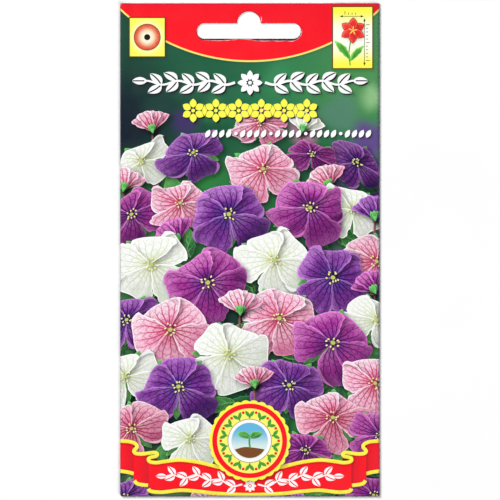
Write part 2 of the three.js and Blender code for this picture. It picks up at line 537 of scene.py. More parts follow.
@dataclass
class Coat:
    """Ink at a set of points: its colours, the veins over them, and the distance to a petal's margin."""

    ink: Colour
    vein_ink: Colour
    vein_place: Points
    vein_amount: np.ndarray
    margin: np.ndarray

    @classmethod
    def plain(cls, colour: Colour, count: int) -> "Coat":
        """Ink with no veins, in one colour or one for each point."""
        spread = np.broadcast_to(colour, (count, 3)).copy()
        return cls(spread, spread.copy(), np.zeros((count, 3)), np.zeros(count), np.full(count, FAR_OFF))


Paint = Callable[[Points], Coat]


@dataclass
class Ink:
    """One printed shape: its outline, the rule for its colours, and the soft shadow that it casts."""

    outline: Points
    paint: Paint
    shadow: float = 0.0
    blur: float = 1.0


def flat_ink(outline: Points, colour: Colour, shadow: float = 0.0, blur: float = 1.0) -> Ink:
    """A shape in one colour."""
    return Ink(outline, lambda points: Coat.plain(colour, len(points)), shadow, blur)


def graded(read: Callable[[Points], np.ndarray], first: Colour, *steps: tuple[Colour, float, float]) -> Paint:
    """Makes a paint that runs from colour to colour as a reading grows.

    Args:
        read: Reads a number at each place.
        first: Colour where the number is low.
        steps: The colours after it, each with the numbers at which it starts and is reached.

    Returns:
        The paint.
    """

    def paint(points: Points) -> Coat:
        """Lays each step over the last.

        Args:
            points: Places on the print.

        Returns:
            The ink at each place.
        """
        value, colour = read(points), first
        for after, start, end in steps:
            colour = blend(colour, after, rise(start, end, value))
        return Coat.plain(colour, len(points))

    return paint


@dataclass(frozen=True)
class Tints:
    """Tones of a petal or leaf, from its bright margin to its veins."""

    light: Colour
    mid: Colour
    dark: Colour
    heart: Colour
    vein: Colour


PURPLE = Tints(tone(202, 136, 218), tone(132, 54, 160), tone(44, 12, 84), tone(74, 66, 172), tone(38, 4, 70))
PLUM = Tints(tone(230, 136, 210), tone(172, 56, 156), tone(78, 12, 90), tone(104, 56, 160), tone(64, 2, 72))
PINK = Tints(tone(255, 236, 246), tone(255, 192, 218), tone(222, 124, 166), tone(232, 78, 116),
             tone(184, 38, 88))
ROSE = Tints(tone(255, 220, 232), tone(248, 164, 194), tone(196, 86, 130), tone(216, 50, 90),
             tone(152, 22, 66))
CREAM = Tints(tone(255, 255, 255), tone(255, 255, 255), tone(222, 230, 214), tone(230, 242, 194),
              tone(210, 222, 184))
LEAF = Tints(tone(116, 196, 104), tone(52, 140, 66), tone(12, 58, 38), tone(30, 98, 50), tone(146, 210, 128))
SHADE_LEAF = Tints(tone(62, 138, 82), tone(26, 86, 54), tone(8, 32, 34), tone(18, 62, 46), tone(76, 150, 96))


class Profile(Enum):
    """Ways that a petal's or leaf's width grows and shrinks along it: growth, tip power, tip bluntness."""

    PETAL = (0.75, 5.0, 0.55)
    NARROW = (0.8, 2.2, 0.8)
    LEAF = (0.7, 1.5, 0.95)


@dataclass(frozen=True)
class Petal:
    """A petal or leaf, drawn from its base along its own axis."""

    base: Points
    axes: np.ndarray
    length: float
    width: float
    tints: Tints
    profile: Profile = Profile.PETAL
    bend: float = 0.0
    notch: float = 0.0
    teeth: float = 0.0
    ripple: float = 0.06
    vein_count: float = 2.9
    vein_strength: float = 0.9
    cup: float = 0.5
    phase: float = 0.0
    exposure: float = 1.0
    shadow: float = 0.55
    blur: float = 1.4

    def half_width(self, share: np.ndarray) -> np.ndarray:
        """Reads half of the petal's width.

        Args:
            share: Places along the petal as shares of its length.

        Returns:
            Half of the width at each place.
        """
        growth, power, bluntness = self.profile.value
        scan = np.linspace(0.01, 0.99, 99)
        widest = (scan**growth * (1.0 - scan**power) ** bluntness).max()
        inner = np.clip(share, 0.0, 1.0)
        return self.width / 2 * inner**growth * (1.0 - inner**power) ** bluntness / widest

    def to_print(self, along: np.ndarray, across: np.ndarray) -> Points:
        """Places on the print from places along and across the petal."""
        bent = across + self.bend * along**2 / self.length
        return self.base + np.column_stack([along, bent]) @ self.axes.T

    def from_print(self, points: Points) -> tuple[np.ndarray, np.ndarray]:
        """Places along and across the petal from places on the print."""
        own = (points - self.base) @ np.linalg.inv(self.axes).T
        return own[:, 0], own[:, 1] - self.bend * own[:, 0] ** 2 / self.length

    def outline(self) -> Points:
        """Outlines the petal, with its ripples, its teeth and the notch in its tip.

        Returns:
            The outline on the print.
        """
        count = max(8, math.ceil(self.length / 0.6))
        share = (1.0 - np.cos(np.linspace(0.0, math.pi, count))) / 2
        half = self.half_width(share)
        sides = []
        for side in (1, -1):
            wave = np.sin(share * 14.0 + side * self.phase) + 0.6 * np.sin(share * 31.0 + 2.0 * self.phase)
            across = side * half * (1.0 + self.ripple * wave - self.teeth * (np.arange(count) % 2))
            dip = self.notch * share**6 * np.exp(-((across / (0.3 * self.width)) ** 2))
            sides.append(self.to_print(self.length * (share - dip), across))
        return np.vstack([sides[0], sides[1][::-1][1:-1]])

    def light(self, share: np.ndarray, side: np.ndarray) -> np.ndarray:
        """Reads the light that falls on the petal's pleated form.

        Args:
            share: Places along the petal as shares of its length.
            side: Places across it as shares of half its width.

        Returns:
            The light at each place, below 0 in shade.
        """
        pleats = np.sin(side * 8.0 + 2.0 * self.phase) + 0.6 * np.sin(side * 17.0 + self.phase)
        slope_along = 1.7 * (share - 0.42) + 0.35 * np.sin(share * 6.0 + self.phase)
        slope_across = 1.1 * self.cup * side + 0.32 * pleats * rise(0.1, 0.75, share)
        way = np.linalg.inv(self.axes) @ PRINT_LIGHT
        way = way / np.linalg.norm(way)
        return slope_along * way[0] + slope_across * way[1]

    def paint(self, points: Points) -> Coat:
        """Inks the petal, darker at its heart, brighter at its margin, and lit over its form.

        Args:
            points: Places on the print.

        Returns:
            The ink at each place.
        """
        along, across = self.from_print(points)
        share = np.clip(along / self.length, 0.0, 1.0)
        half = self.half_width(np.clip(share, 0.02, 0.98))
        side = np.clip(across / half, -1.0, 1.0)
        outer = np.abs(side)
        tints = self.tints
        colour = blend(tints.mid, tints.heart, 0.85 * (1.0 - rise(0.0, 0.5, share)))
        colour = blend(colour, tints.light, 0.5 * rise(0.6, 1.0, np.maximum(outer, share)))
        light = self.light(share, side)
        colour = blend(colour, tints.dark, np.clip(-0.95 * light, 0.0, 0.95))
        colour = blend(colour, tints.light, np.clip(0.7 * light, 0.0, 0.85))
        lane = side * self.vein_count + 5.0 * round(3.0 * self.phase)
        place = np.column_stack([along, lane, half / self.vein_count])
        amount = self.vein_strength * (1.0 - 0.45 * rise(0.5, 1.0, share)) * (1.0 - rise(0.88, 1.0, outer))
        veins = np.tile(tints.vein * self.exposure, (len(points), 1))
        margin = np.clip(depth_inside(points, self.outline()), 0.0, FAR_OFF)
        return Coat(colour * self.exposure, veins, place, amount, margin)

    def ink(self) -> Ink:
        """The petal as a printed shape."""
        return Ink(self.outline(), self.paint, self.shadow, self.blur)

    def curl(self, side: int, start: float, depth: float) -> Ink:
        """Turns the margin of one side up towards the eye, so that its pale underside shows.

        Args:
            side: 1 for the left side of the petal, -1 for the right.
            start: Share of the length where the curl starts.
            depth: Width of the turned margin in the middle of the curl.

        Returns:
            The turned margin's shape.
        """
        share = np.linspace(start, 0.97, 12)
        across = side * self.half_width(share)
        reach = depth * np.sin(np.linspace(0.0, math.pi, 12)) ** 0.8
        edge = self.to_print(self.length * share, across)
        inner = self.to_print(self.length * share - 0.6 * reach * share, across - side * reach)
        colour = blend(self.tints.light, self.tints.mid, 0.25) * self.exposure
        return flat_ink(np.vstack([edge, inner[::-1][1:-1]]), colour, 0.5, 0.7)


@dataclass(frozen=True)
class Bloom:
    """An open flower of broad, veined petals round a small heart, which may face away to one side."""

    x: float
    y: float
    radius: float
    tints: Tints
    turn: float = 0.0
    lean: float = 90.0
    squash: float = 0.85
    exposure: float = 1.0
    petals: int = 5
    stamens: int = 9
    curled: float = 0.55

    def inks(self) -> list[Ink]:
        """Draws the flower.

        Returns:
            Its shapes, from its sepals to its stamens.
        """
        rng = np.random.default_rng(int(9000 + 37 * self.x + 91 * self.y + 13 * self.radius))
        tip = turned(math.radians(self.lean))
        tilt = tip @ np.diag([self.squash, 1.0]) @ tip.T
        away = 0.42 * math.sqrt(1.0 - self.squash**2)
        centre = np.array([self.x, self.y])
        turn = math.radians(self.turn)
        made = []
        for i in range(self.petals):
            axes = tilt @ turned(turn + TURN * (i + 0.5) / self.petals)
            sepal = Petal(centre, axes, self.radius * 0.95, self.radius * 0.28, LEAF, Profile.NARROW,
                          exposure=0.8 * self.exposure)
            made.append(sepal.ink())
        for i in range(self.petals):
            axes = tilt @ turned(turn + TURN * i / self.petals + rng.normal(0.0, 0.09))
            way = axes[:, 0] / np.linalg.norm(axes[:, 0])
            reach = self.radius * rng.uniform(0.9, 1.05) * (1.0 - away * way @ tip[:, 0])
            petal = Petal(
                centre + axes @ np.array([0.04 * self.radius, 0.0]), axes, reach,
                self.radius * rng.uniform(0.98, 1.14), self.tints, bend=rng.normal(0.0, 0.12),
                notch=rng.uniform(0.0, 0.13), cup=rng.uniform(-0.2, 0.75), phase=rng.uniform(0.0, TURN),
                exposure=self.exposure * rng.uniform(0.92, 1.04) * (0.95 + 0.13 * way @ PRINT_LIGHT),
            )
            made.append(petal.ink())
            if rng.random() < self.curled:
                side = 1 if rng.random() < 0.5 else -1
                made.append(petal.curl(side, rng.uniform(0.4, 0.62), self.radius * rng.uniform(0.05, 0.11)))
        return made + self.heart(centre, tilt, rng)

    def heart(self, centre: Points, tilt: np.ndarray, rng: np.random.Generator) -> list[Ink]:
        """Draws the stamens as loose pale heads round a small green eye.

        Args:
            centre: The flower's middle.
            tilt: Matrix that squashes the flower.
            rng: The flower's own random numbers.

        Returns:
            The shapes.
        """
        size = self.radius * 0.06
        made = [flat_ink(centre + round_outline((0, 0), size, 14) @ tilt.T, tone(190, 206, 104), 0.6, 0.9)]
        for i in range(self.stamens):
            angle = TURN * i / self.stamens + rng.normal(0.0, 0.2)
            place = centre + tilt @ (pointer(angle) * size * rng.uniform(1.2, 2.6))
            head = drop_leaf(place, angle + rng.normal(0.0, 0.6), size * 1.1, size * 0.75)
            made.append(flat_ink(head, tone(250, 236, rng.integers(130, 200)), 0.5, 0.4))
        return made


# The fan, reach and light of each petal of a bud, from the back to the front, and the fans of its cup
BUD_PETALS = ((-0.55, 0.78, 0.7), (0.6, 0.8, 0.7), (0.05, 0.86, 0.78), (-1.1, 0.9, 0.95), (1.15, 0.88, 0.95),
              (-0.4, 0.84, 1.0), (0.5, 0.9, 1.04))
BUD_CUP = (-0.9, 0.9, 0.0)


@dataclass(frozen=True)
class Bud:
    """A flower seen from its side, still half closed, on its green cup and stem."""

    base: Place
    height: float
    tints: Tints
    lean: float
    spread: float
    stem: tuple[Place, ...]

    def inks(self) -> list[Ink]:
        """Draws the bud.

        Returns:
            Its shapes, from its stem to its cup.
        """
        base = np.array(self.base)
        made = [stem_ink(smooth_line([self.base, *self.stem], 1.0), 0.9)]
        for i, (fan, reach, lit) in enumerate(BUD_PETALS):
            size = self.height * reach
            petal = Petal(base, self.fanned(fan), size, size * 0.62, self.tints, bend=0.22 * fan, notch=0.1,
                          cup=0.6, phase=1.3 * i + self.height, vein_count=1.6, ripple=0.09, exposure=lit)
            made.append(petal.ink())
        for fan in BUD_CUP:
            axes = self.fanned(fan)
            foot = base - axes @ np.array([self.height * 0.08, 0.0])
            cup = Petal(foot, axes, self.height * 0.38, self.height * 0.17, LEAF, Profile.NARROW, phase=fan,
                        vein_count=0.45, vein_strength=0.3)
            made.append(cup.ink())
        return made

    def fanned(self, fan: float) -> np.ndarray:
        """Axes of a petal that is spread to one side."""
        return turned(math.radians(self.lean + fan * self.spread))


def stem_ink(line: Points, width: float) -> Ink:
    """Draws a stem along a line, lit on its left side.

    Args:
        line: The stem's middle, from its top down.
        width: Its width in the middle.

    Returns:
        The stem's shape.
    """

    def aside(points: Points) -> np.ndarray:
        """How far to the right of the middle, in half widths."""
        return off_line(points, line)[:, 0] / (width / 2)

    paint = graded(aside, tone(160, 112, 110), (tone(84, 34, 58), -0.6, 0.8))
    return Ink(stroke(line, width * np.linspace(0.75, 1.15, len(line))), paint, 0.45, 1.0)


@dataclass(frozen=True)
class Haze:
    """Blurred tones behind the flowers: soft spots that fill the ground, and flowers out of focus on them."""

    spots: tuple[Spot, ...]
    blurs: tuple[Spot, ...]
    softness: float = 2.6

    def paint(self, points: Points) -> Coat:
        """Inks the ground, with colours that run softly from spot to spot.

        Args:
            points: Places on the print.

        Returns:
            The ink at each place.
        """
        total = np.full(len(points), 1e-6)
        colour = np.zeros((len(points), 3))
        for x, y, radius, screen in self.spots:
            weight = np.exp(-((points[:, 0] - x) ** 2 + (points[:, 1] - y) ** 2) / (1.1 * radius**2))
            total += weight
            colour += weight[:, None] * tone(*screen)
        colour /= total[:, None]
        for x, y, radius, screen in self.blurs:
            right, up = points[:, 0] - x, points[:, 1] - y
            angle = np.arctan2(up, right)
            edge = radius * (1.0 + 0.1 * np.cos(3.0 * angle + x) + 0.05 * np.cos(5.0 * angle + y))
            past = rise(edge - self.softness, edge + self.softness, np.hypot(right, up))
            colour = blend(colour, tone(*screen), 0.8 * (1.0 - past))
        return Coat.plain(colour, len(points))


GARDEN = Haze((
    (-38, 62, 9, (34, 78, 60)), (-33, 46, 11, (20, 34, 46)), (-41, 33, 8, (14, 22, 40)),
    (-22, 56, 9, (34, 96, 68)), (-27, 36, 8, (20, 54, 50)), (-9, 52, 10, (34, 98, 68)),
    (4, 44, 9, (40, 120, 76)), (18, 50, 10, (56, 130, 80)), (31, 47, 9, (80, 146, 86)),
    (41, 38, 9, (62, 138, 82)), (-13, 35, 8, (24, 76, 56)), (27, 34, 8, (34, 104, 68)),
    (11, 30, 8, (26, 82, 56)), (-39, 18, 8, (50, 144, 60)), (-18, 20, 9, (44, 130, 60)),
    (38, 20, 7, (84, 42, 116)), (30, 12, 6, (96, 48, 134)), (2, 17, 9, (36, 112, 60)),
    (18, 8, 8, (22, 72, 50)), (-10, 2, 9, (36, 100, 52)), (-38, -4, 9, (70, 132, 72)),
    (38, -8, 8, (84, 136, 80)), (-28, -20, 10, (36, 90, 50)), (-9, -26, 10, (24, 50, 48)),
    (12, -24, 10, (30, 88, 54)), (36, -28, 9, (74, 150, 66)), (-36, -44, 10, (24, 66, 48)),
    (-12, -50, 9, (36, 20, 60)), (14, -52, 9, (40, 112, 56)), (37, -54, 9, (60, 136, 64)),
    (-37, -73, 7, (80, 110, 80)), (37, -73, 7, (36, 26, 60)), (0, -74, 8, (44, 84, 50)),
), (
    (28, 42, 5.5, (84, 132, 112)), (37, 34, 5.5, (104, 52, 146)), (-28, 44, 4.5, (30, 66, 60)),
    (-20, 39, 3.6, (70, 44, 110)), (17, 37, 4.2, (206, 132, 176)), (-37, 37, 4.6, (18, 30, 44)),
    (38, 47, 3.4, (150, 198, 140)), (-11, 43, 3.4, (60, 132, 84)), (9, 53, 4.0, (58, 140, 92)),
))


# Each bloom's x, y, radius, tints, turn, lean, squash and exposure, from the back to the front
BLOOMS = (
    (33.0, 27.0, 9.5, PURPLE, 20, 50, 0.62, 0.66),
    (3.0, 39.5, 8.6, PINK, 10, 100, 0.74, 0.94),
    (-33.5, 27.5, 9.5, CREAM, 30, 125, 0.68, 0.9),
    (19.0, 29.5, 8.0, PLUM, 70, 80, 0.62, 0.72),
    (-17.5, 30.0, 10.0, PURPLE, 10, 110, 0.74, 0.92),
    (31.5, 12.5, 10.5, CREAM, 12, 60, 0.72, 0.96),
    (4.0, 25.0, 10.8, PINK, 40, 85, 0.84, 1.0),
    (-36.5, 11.0, 10.5, PLUM, 55, 125, 0.76, 0.9),
    (-21.5, 14.5, 9.6, PINK, 35, 100, 0.78, 0.96),
    (18.5, 13.0, 11.5, PLUM, 5, 70, 0.86, 1.0),
    (-6.5, 11.0, 12.0, PURPLE, 25, 100, 0.88, 1.0),
    (39.0, -3.5, 11.0, PINK, 50, 55, 0.78, 0.92),
    (-30.5, -4.5, 12.5, CREAM, 25, 110, 0.86, 1.0),
    (7.5, -3.0, 12.0, CREAM, 44, 80, 0.88, 1.0),
    (25.5, -8.5, 12.2, PURPLE, 15, 70, 0.86, 1.0),
    (-13.0, -10.0, 12.6, PLUM, 60, 100, 0.9, 1.0),
    (-38.0, -21.5, 10.5, PURPLE, 22, 120, 0.76, 0.9),
    (39.0, -21.5, 10.5, CREAM, 66, 60, 0.74, 0.96),
    (9.0, -21.0, 12.0, PINK, 8, 85, 0.9, 1.02),
    (-24.5, -24.5, 12.0, PINK, 48, 105, 0.9, 1.0),
    (25.5, -28.5, 12.5, PLUM, 38, 70, 0.9, 1.0),
    (-6.5, -32.0, 12.0, CREAM, 70, 95, 0.9, 1.0),
    (-38.5, -39.0, 10.5, CREAM, 30, 120, 0.8, 0.96),
    (12.0, -41.5, 11.0, PURPLE, 12, 85, 0.86, 0.96),
    (38.5, -41.0, 11.0, PINK, 28, 65, 0.8, 0.96),
    (-22.0, -42.0, 12.0, PURPLE, 16, 100, 0.88, 1.0),
    (25.5, -51.5, 11.0, ROSE, 50, 75, 0.84, 1.0),
    (-36.5, -55.0, 10.5, ROSE, 62, 115, 0.84, 0.96),
    (-18.5, -58.0, 10.0, CREAM, 40, 95, 0.84, 1.0),
    (40.0, -57.0, 9.5, PLUM, 10, 60, 0.8, 0.9),
    (17.0, -61.5, 8.5, PLUM, 10, 80, 0.8, 0.92),
    (-38.5, -76.0, 8.0, PURPLE, 44, 100, 0.8, 0.9),
    (38.0, -75.5, 8.5, PLUM, 28, 70, 0.8, 0.84),
    (-12.0, -79.0, 7.0, PINK, 28, 70, 0.8, 0.9),
    (14.0, -79.5, 7.0, PURPLE, 28, 70, 0.8, 0.9),
)
# Each bud's base, height, tints, lean, spread and stem, from the top down
BUDS = (
    ((-30.0, 36.5), 8.0, ROSE, 100, 26, ((-29.5, 28.0), (-28.0, 18.0))),
    ((16.0, 36.5), 8.0, CREAM, 72, 30, ((15.0, 30.0), (12.0, 20.0))),
    ((24.5, 19.5), 8.5, ROSE, 112, 30, ((25.0, 12.0), (24.0, 2.0))),
    ((-39.0, 18.5), 8.5, PINK, 76, 24, ((-38.0, 8.0), (-37.0, 0.0))),
    ((38.5, 9.5), 9.0, PURPLE, 96, 28, ((38.0, 0.0), (37.0, -8.0))),
    ((-22.0, 2.5), 9.0, PLUM, 120, 30, ((-22.0, -6.0), (-21.0, -12.0))),
    ((38.5, -13.0), 8.5, PLUM, 112, 28, ((38.0, -24.0), (37.0, -32.0))),
    ((-3.0, -19.5), 9.0, PINK, 86, 30, ((-3.5, -27.0), (-4.5, -34.0))),
    ((1.5, -42.0), 8.0, ROSE, 96, 30, ((1.5, -50.0), (1.0, -56.0))),
)


@dataclass(frozen=True)
class Bouquet:
    """The printed picture: leaves, buds and open flowers over a blurred garden."""

    leaf_count: int = 110
    shaded_share: float = 0.6
    leaf_field: Box = (-42.0, 42.0, -78.0, 24.0)
    bud_reach: float = 4.0
    blooms: tuple[Bloom, ...] = tuple(Bloom(*row) for row in BLOOMS)
    buds: tuple[Bud, ...] = tuple(Bud(*row) for row in BUDS)

    def leaves(self) -> list[Ink]:
        """Scatters leaves at seeded places and angles.

        Returns:
            Their shapes, the dark ones behind the light ones.
        """
        rng = np.random.default_rng(11)
        left, right, bottom, top = self.leaf_field
        made = []
        for i in range(self.leaf_count):
            tints = SHADE_LEAF if i < self.leaf_count * self.shaded_share else LEAF
            base = np.array([rng.uniform(left, right), rng.uniform(bottom, top)])
            size = rng.uniform(9.0, 16.0)
            leaf = Petal(
                base, turned(rng.uniform(0.0, TURN)), size, size * rng.uniform(0.42, 0.58), tints,
                Profile.LEAF, bend=rng.normal(0.0, 0.15), teeth=0.07, vein_count=0.45, vein_strength=0.5,
                phase=rng.uniform(0.0, TURN), exposure=rng.uniform(0.6, 1.15),
            )
            made.append(leaf.ink())
        return made

    def inks(self) -> list[Ink]:
        """Draws the picture, with each bud among the blooms of its height.

        Returns:
            Its shapes, from the back to the front.
        """
        made = self.leaves()
        waiting = list(self.buds)
        for bloom in self.blooms:
            while waiting and waiting[0].base[1] > bloom.y + self.bud_reach:
                made += waiting.pop(0).inks()
            made += bloom.inks()
        return made


# Ornaments that stand where a packet carries its words, and the frame of the print

RED = tone(254, 26, 40)
DEEP_RED = tone(224, 28, 44)
MAROON = tone(112, 10, 20)
YELLOW = tone(255, 250, 84)
GOLD = tone(253, 222, 70)
WHITE = tone(255, 255, 255)
BLACK = tone(30, 24, 26)
BRONZE = tone(84, 48, 16)
GREEN = tone(74, 160, 58)
WORD_SHADOW = tone(24, 26, 40)
DROP = np.array([1.0, -1.0])


def drop_leaf(base: Points, angle: float, length: float, width: float) -> Points:
    """Outline of a plain pointed ornament leaf."""
    base = np.asarray(base, float)
    return Petal(base, turned(angle), length, width, LEAF, Profile.LEAF, ripple=0.0).outline()


def slit_leaf(base: Points, angle: float, length: float, width: float, bend: float = 0.0) -> list[Points]:
    """Outlines an ornament leaf with a fine gap along its middle.

    Args:
        base: Where the leaf starts.
        angle: Its way in radians.
        length: Its length.
        width: Its greatest width.
        bend: How far its tip is bent aside.

    Returns:
        The outlines of its two halves.
    """
    leaf = Petal(base, turned(angle), length, width, LEAF, Profile.LEAF, bend=bend)
    share = np.linspace(0.0, 1.0, 12)
    half = leaf.half_width(share)
    gap = np.minimum(half, 0.06 * width + 0.05)
    made = []
    for side in (-1, 1):
        edge = leaf.to_print(share * length, side * half)
        middle = leaf.to_print(share * length, side * gap)
        made.append(np.vstack([edge, middle[::-1][1:-1]])[::side])
    return made


def flat_inks(outlines: Iterable[Points], colour: Colour) -> list[Ink]:
    """Shapes in one colour."""
    return [flat_ink(outline, colour) for outline in outlines]


def shadowed(outlines: list[Points], colour: Colour, drop: float) -> list[Ink]:
    """Shapes in one colour, over a dark copy of all of them moved down and to the right."""
    dark = [flat_ink(outline + DROP * drop, WORD_SHADOW, 0.35, 0.5) for outline in outlines]
    return dark + flat_inks(outlines, colour)


@dataclass(frozen=True)
class Garland:
    """A wavy stem with leaves on both sides and a round flower in its middle."""

    half_length: float
    leaf: float
    pitch: float
    wave: float
    stem: float
    flower: float
    middle: Callable[[np.ndarray], np.ndarray]
    flower_petals: int = 8

    def line(self, x: np.ndarray) -> Points:
        """The stem's middle, mirrored about the garland's own."""
        return np.column_stack([x, self.middle(x) + self.wave * np.sin(np.abs(x) * math.pi / self.pitch)])

    def shapes(self) -> list[Points]:
        """Draws the garland.

        Returns:
            Outlines of the two stems with their leaves, then of the flower.
        """
        made = []
        start, stop = self.flower * 1.3, self.half_length - self.leaf * 0.8
        for side in (-1, 1):
            x = side * np.arange(self.flower * 1.25, stop, 0.5)
            made.append(stroke(self.line(x), self.stem * np.linspace(1.0, 0.7, len(x))))
            for i in range(int((stop - start) / self.pitch)):
                x = side * (start + self.pitch * (i + 0.6))
                spot, ahead = self.line(np.array([x, x + side * 0.2]))
                way = math.atan2(ahead[1] - spot[1], ahead[0] - spot[0])
                for fan in (0.95, -0.95):
                    made += slit_leaf(spot, way + fan, self.leaf, self.leaf * 0.6, -0.3 * fan)
            end = self.line(np.array([side * (self.half_length - self.leaf)]))[0]
            made += slit_leaf(end, 0.0 if side > 0 else math.pi, self.leaf, self.leaf * 0.5)
        middle = self.line(np.array([0.0]))[0]
        for way in TURN * np.arange(self.flower_petals) / self.flower_petals:
            base = middle + 0.24 * self.flower * pointer(way)
            made.append(drop_leaf(base, way, self.flower * 0.8, self.flower * 0.5))
        return [*made, round_outline(middle, 0.16 * self.flower, 14)]


def rosette_row(count: int, pitch: float, y: float, radius: float) -> list[Points]:
    """Draws a row of six-petalled rosettes with a lozenge between each two.

    Args:
        count: Number of rosettes.
        pitch: Distance between two of them.
        y: Height of the row on the print.
        radius: Reach of a rosette.

    Returns:
        The outlines.
    """
    made = []
    tall, wide = radius * 0.5, radius * 0.24
    for i in range(count):
        x = pitch * (i - (count - 1) / 2)
        for k in range(6):
            way = TURN * (k + 0.5) / 6
            base = np.array([x, y]) + 0.26 * radius * pointer(way)
            made.append(drop_leaf(base, way, radius * 0.78, radius * 0.62))
        made.append(round_outline((x, y), radius * 0.17, 14))
        if i < count - 1:
            x += pitch / 2
            made.append(np.array([[x - wide, y], [x, y - tall], [x + wide, y], [x, y + tall]]))
    return made


def leaf_chain(left: float, right: float, y: float, size: float, pitch: float) -> list[Points]:
    """Draws a chain of slanted small leaves with a dot after each fourth one.

    Args:
        left: Where the chain starts.
        right: Where it ends.
        y: Its height on the print.
        size: Length of a leaf.
        pitch: Distance between two leaves.

    Returns:
        The outlines.
    """
    made = []
    for i in range(int((right - left) / pitch)):
        x = left + pitch * (i + 0.5)
        if i % 5 == 4:
            made.append(round_outline((x, y), size * 0.2, 12))
        else:
            base = (x - size * 0.25, y - size * 0.45)
            made.append(drop_leaf(base, math.radians(62), size, size * 0.56))
    return made


@dataclass(frozen=True)
class HeaderBand:
    """The red segment round the hang slot, with its yellow lower line and the slot's rim, where a shadow is
    painted along the lower edge.
    """

    form: PacketForm
    lowest: float = 58.42
    radius: float = 57.7
    line: float = 0.55
    # Width of the deeper red line round the slot
    bruise: float = 0.3
    # Widths of the shadow that is painted along the slot's lower edge, at places across the packet
    fray_x: tuple[float, ...] = (-16.0, -14.5, -9.0, -6.0, -3.0, 0.5, 2.0, 13.5, 16.2)
    fray_depth: tuple[float, ...] = (0.05, 0.42, 0.5, 0.34, 0.14, 0.2, 0.55, 0.62, 0.14)

    def inks(self) -> list[Ink]:
        """Draws the band.

        Returns:
            Its line, the band, and along the slot a deeper red line, a painted shadow and torn paper.
        """
        centre = (0.0, self.lowest + self.radius)
        curve = arc(np.radians(np.linspace(222.0, 318.0, 150)))
        right, top = self.form.right + 4.0, self.form.top + 4.0
        corners = [(right, top), (-right, top)]
        outer, inner = (np.vstack([centre + curve * radius, corners])
                        for radius in (self.radius + self.line, self.radius))
        return [flat_ink(outer, tone(254, 232, 122), 0.25, 0.5), Ink(inner, self.paint), *self.rim()]

    def paint(self, points: Points) -> Coat:
        """Red, a little deeper towards the right and the top."""
        edge = rise(-10.0, 40.0, points[:, 0]) * 0.5 + rise(66.0, 78.0, points[:, 1]) * 0.5
        return Coat.plain(blend(RED, tone(240, 20, 40), edge), len(points))

    def rim(self) -> list[Ink]:
        """Draws the slot's rim.

        Returns:
            A thin deep red line round the slot, a painted shadow band on the paper along its lower edge with
            pale torn paper below it, and a small tear beside the dome.
        """
        form = self.form
        middle = form.slot_middle
        slot = form.slot_outline() - middle
        grown = middle + slot * (1.0 + self.bruise / np.linalg.norm(slot, axis=1))[:, None]
        half = form.slot_bar / 2
        end = form.slot_width / 2 - half
        rng = np.random.default_rng(21)
        left, right = (np.radians(np.linspace(*span, 10)) for span in ((-140.0, -95.0), (-90.0, 14.0)))
        path = [pointer(turn) * half - (end, 0.0) for turn in left]
        path += [pointer(turn) * half + (end, 0.0) for turn in right]
        line = resampled(np.array(path), form.cut_step, closed=False)
        along = np.gradient(line, axis=0)
        along /= np.linalg.norm(along, axis=1, keepdims=True)
        out = np.column_stack([along[:, 1], -along[:, 0]])
        # Width of the painted shadow band at each point of the lower edge
        dark = np.interp(line[:, 0], self.fray_x, self.fray_depth)[:, None]
        dark = dark * rng.uniform(0.93, 1.05, (len(line), 1))
        torn = rng.choice((0.02, 0.06, 0.12, 0.3), (len(line), 1)) * rise(-14.5, -11.0, line[:, :1])
        torn = (torn + np.roll(torn, 1) + np.roll(torn, -1)) / 3
        line = line + middle
        pale = np.vstack([line + out * (dark - 0.03), (line + out * (dark + torn))[::-1]])
        # Painted shadow on the paper along the slot's lower edge
        shade = np.vstack([line + out * -0.1, (line + out * dark)[::-1]])
        tear = drop_leaf(middle + (form.slot_dome + 0.25, half + 0.3), math.radians(93), 1.9, 0.34)
        return [flat_ink(grown, tone(210, 18, 42)), flat_ink(pale, tone(252, 186, 190)),
                flat_ink(shade, tone(58, 12, 34)), flat_ink(tear, tone(255, 176, 180))]


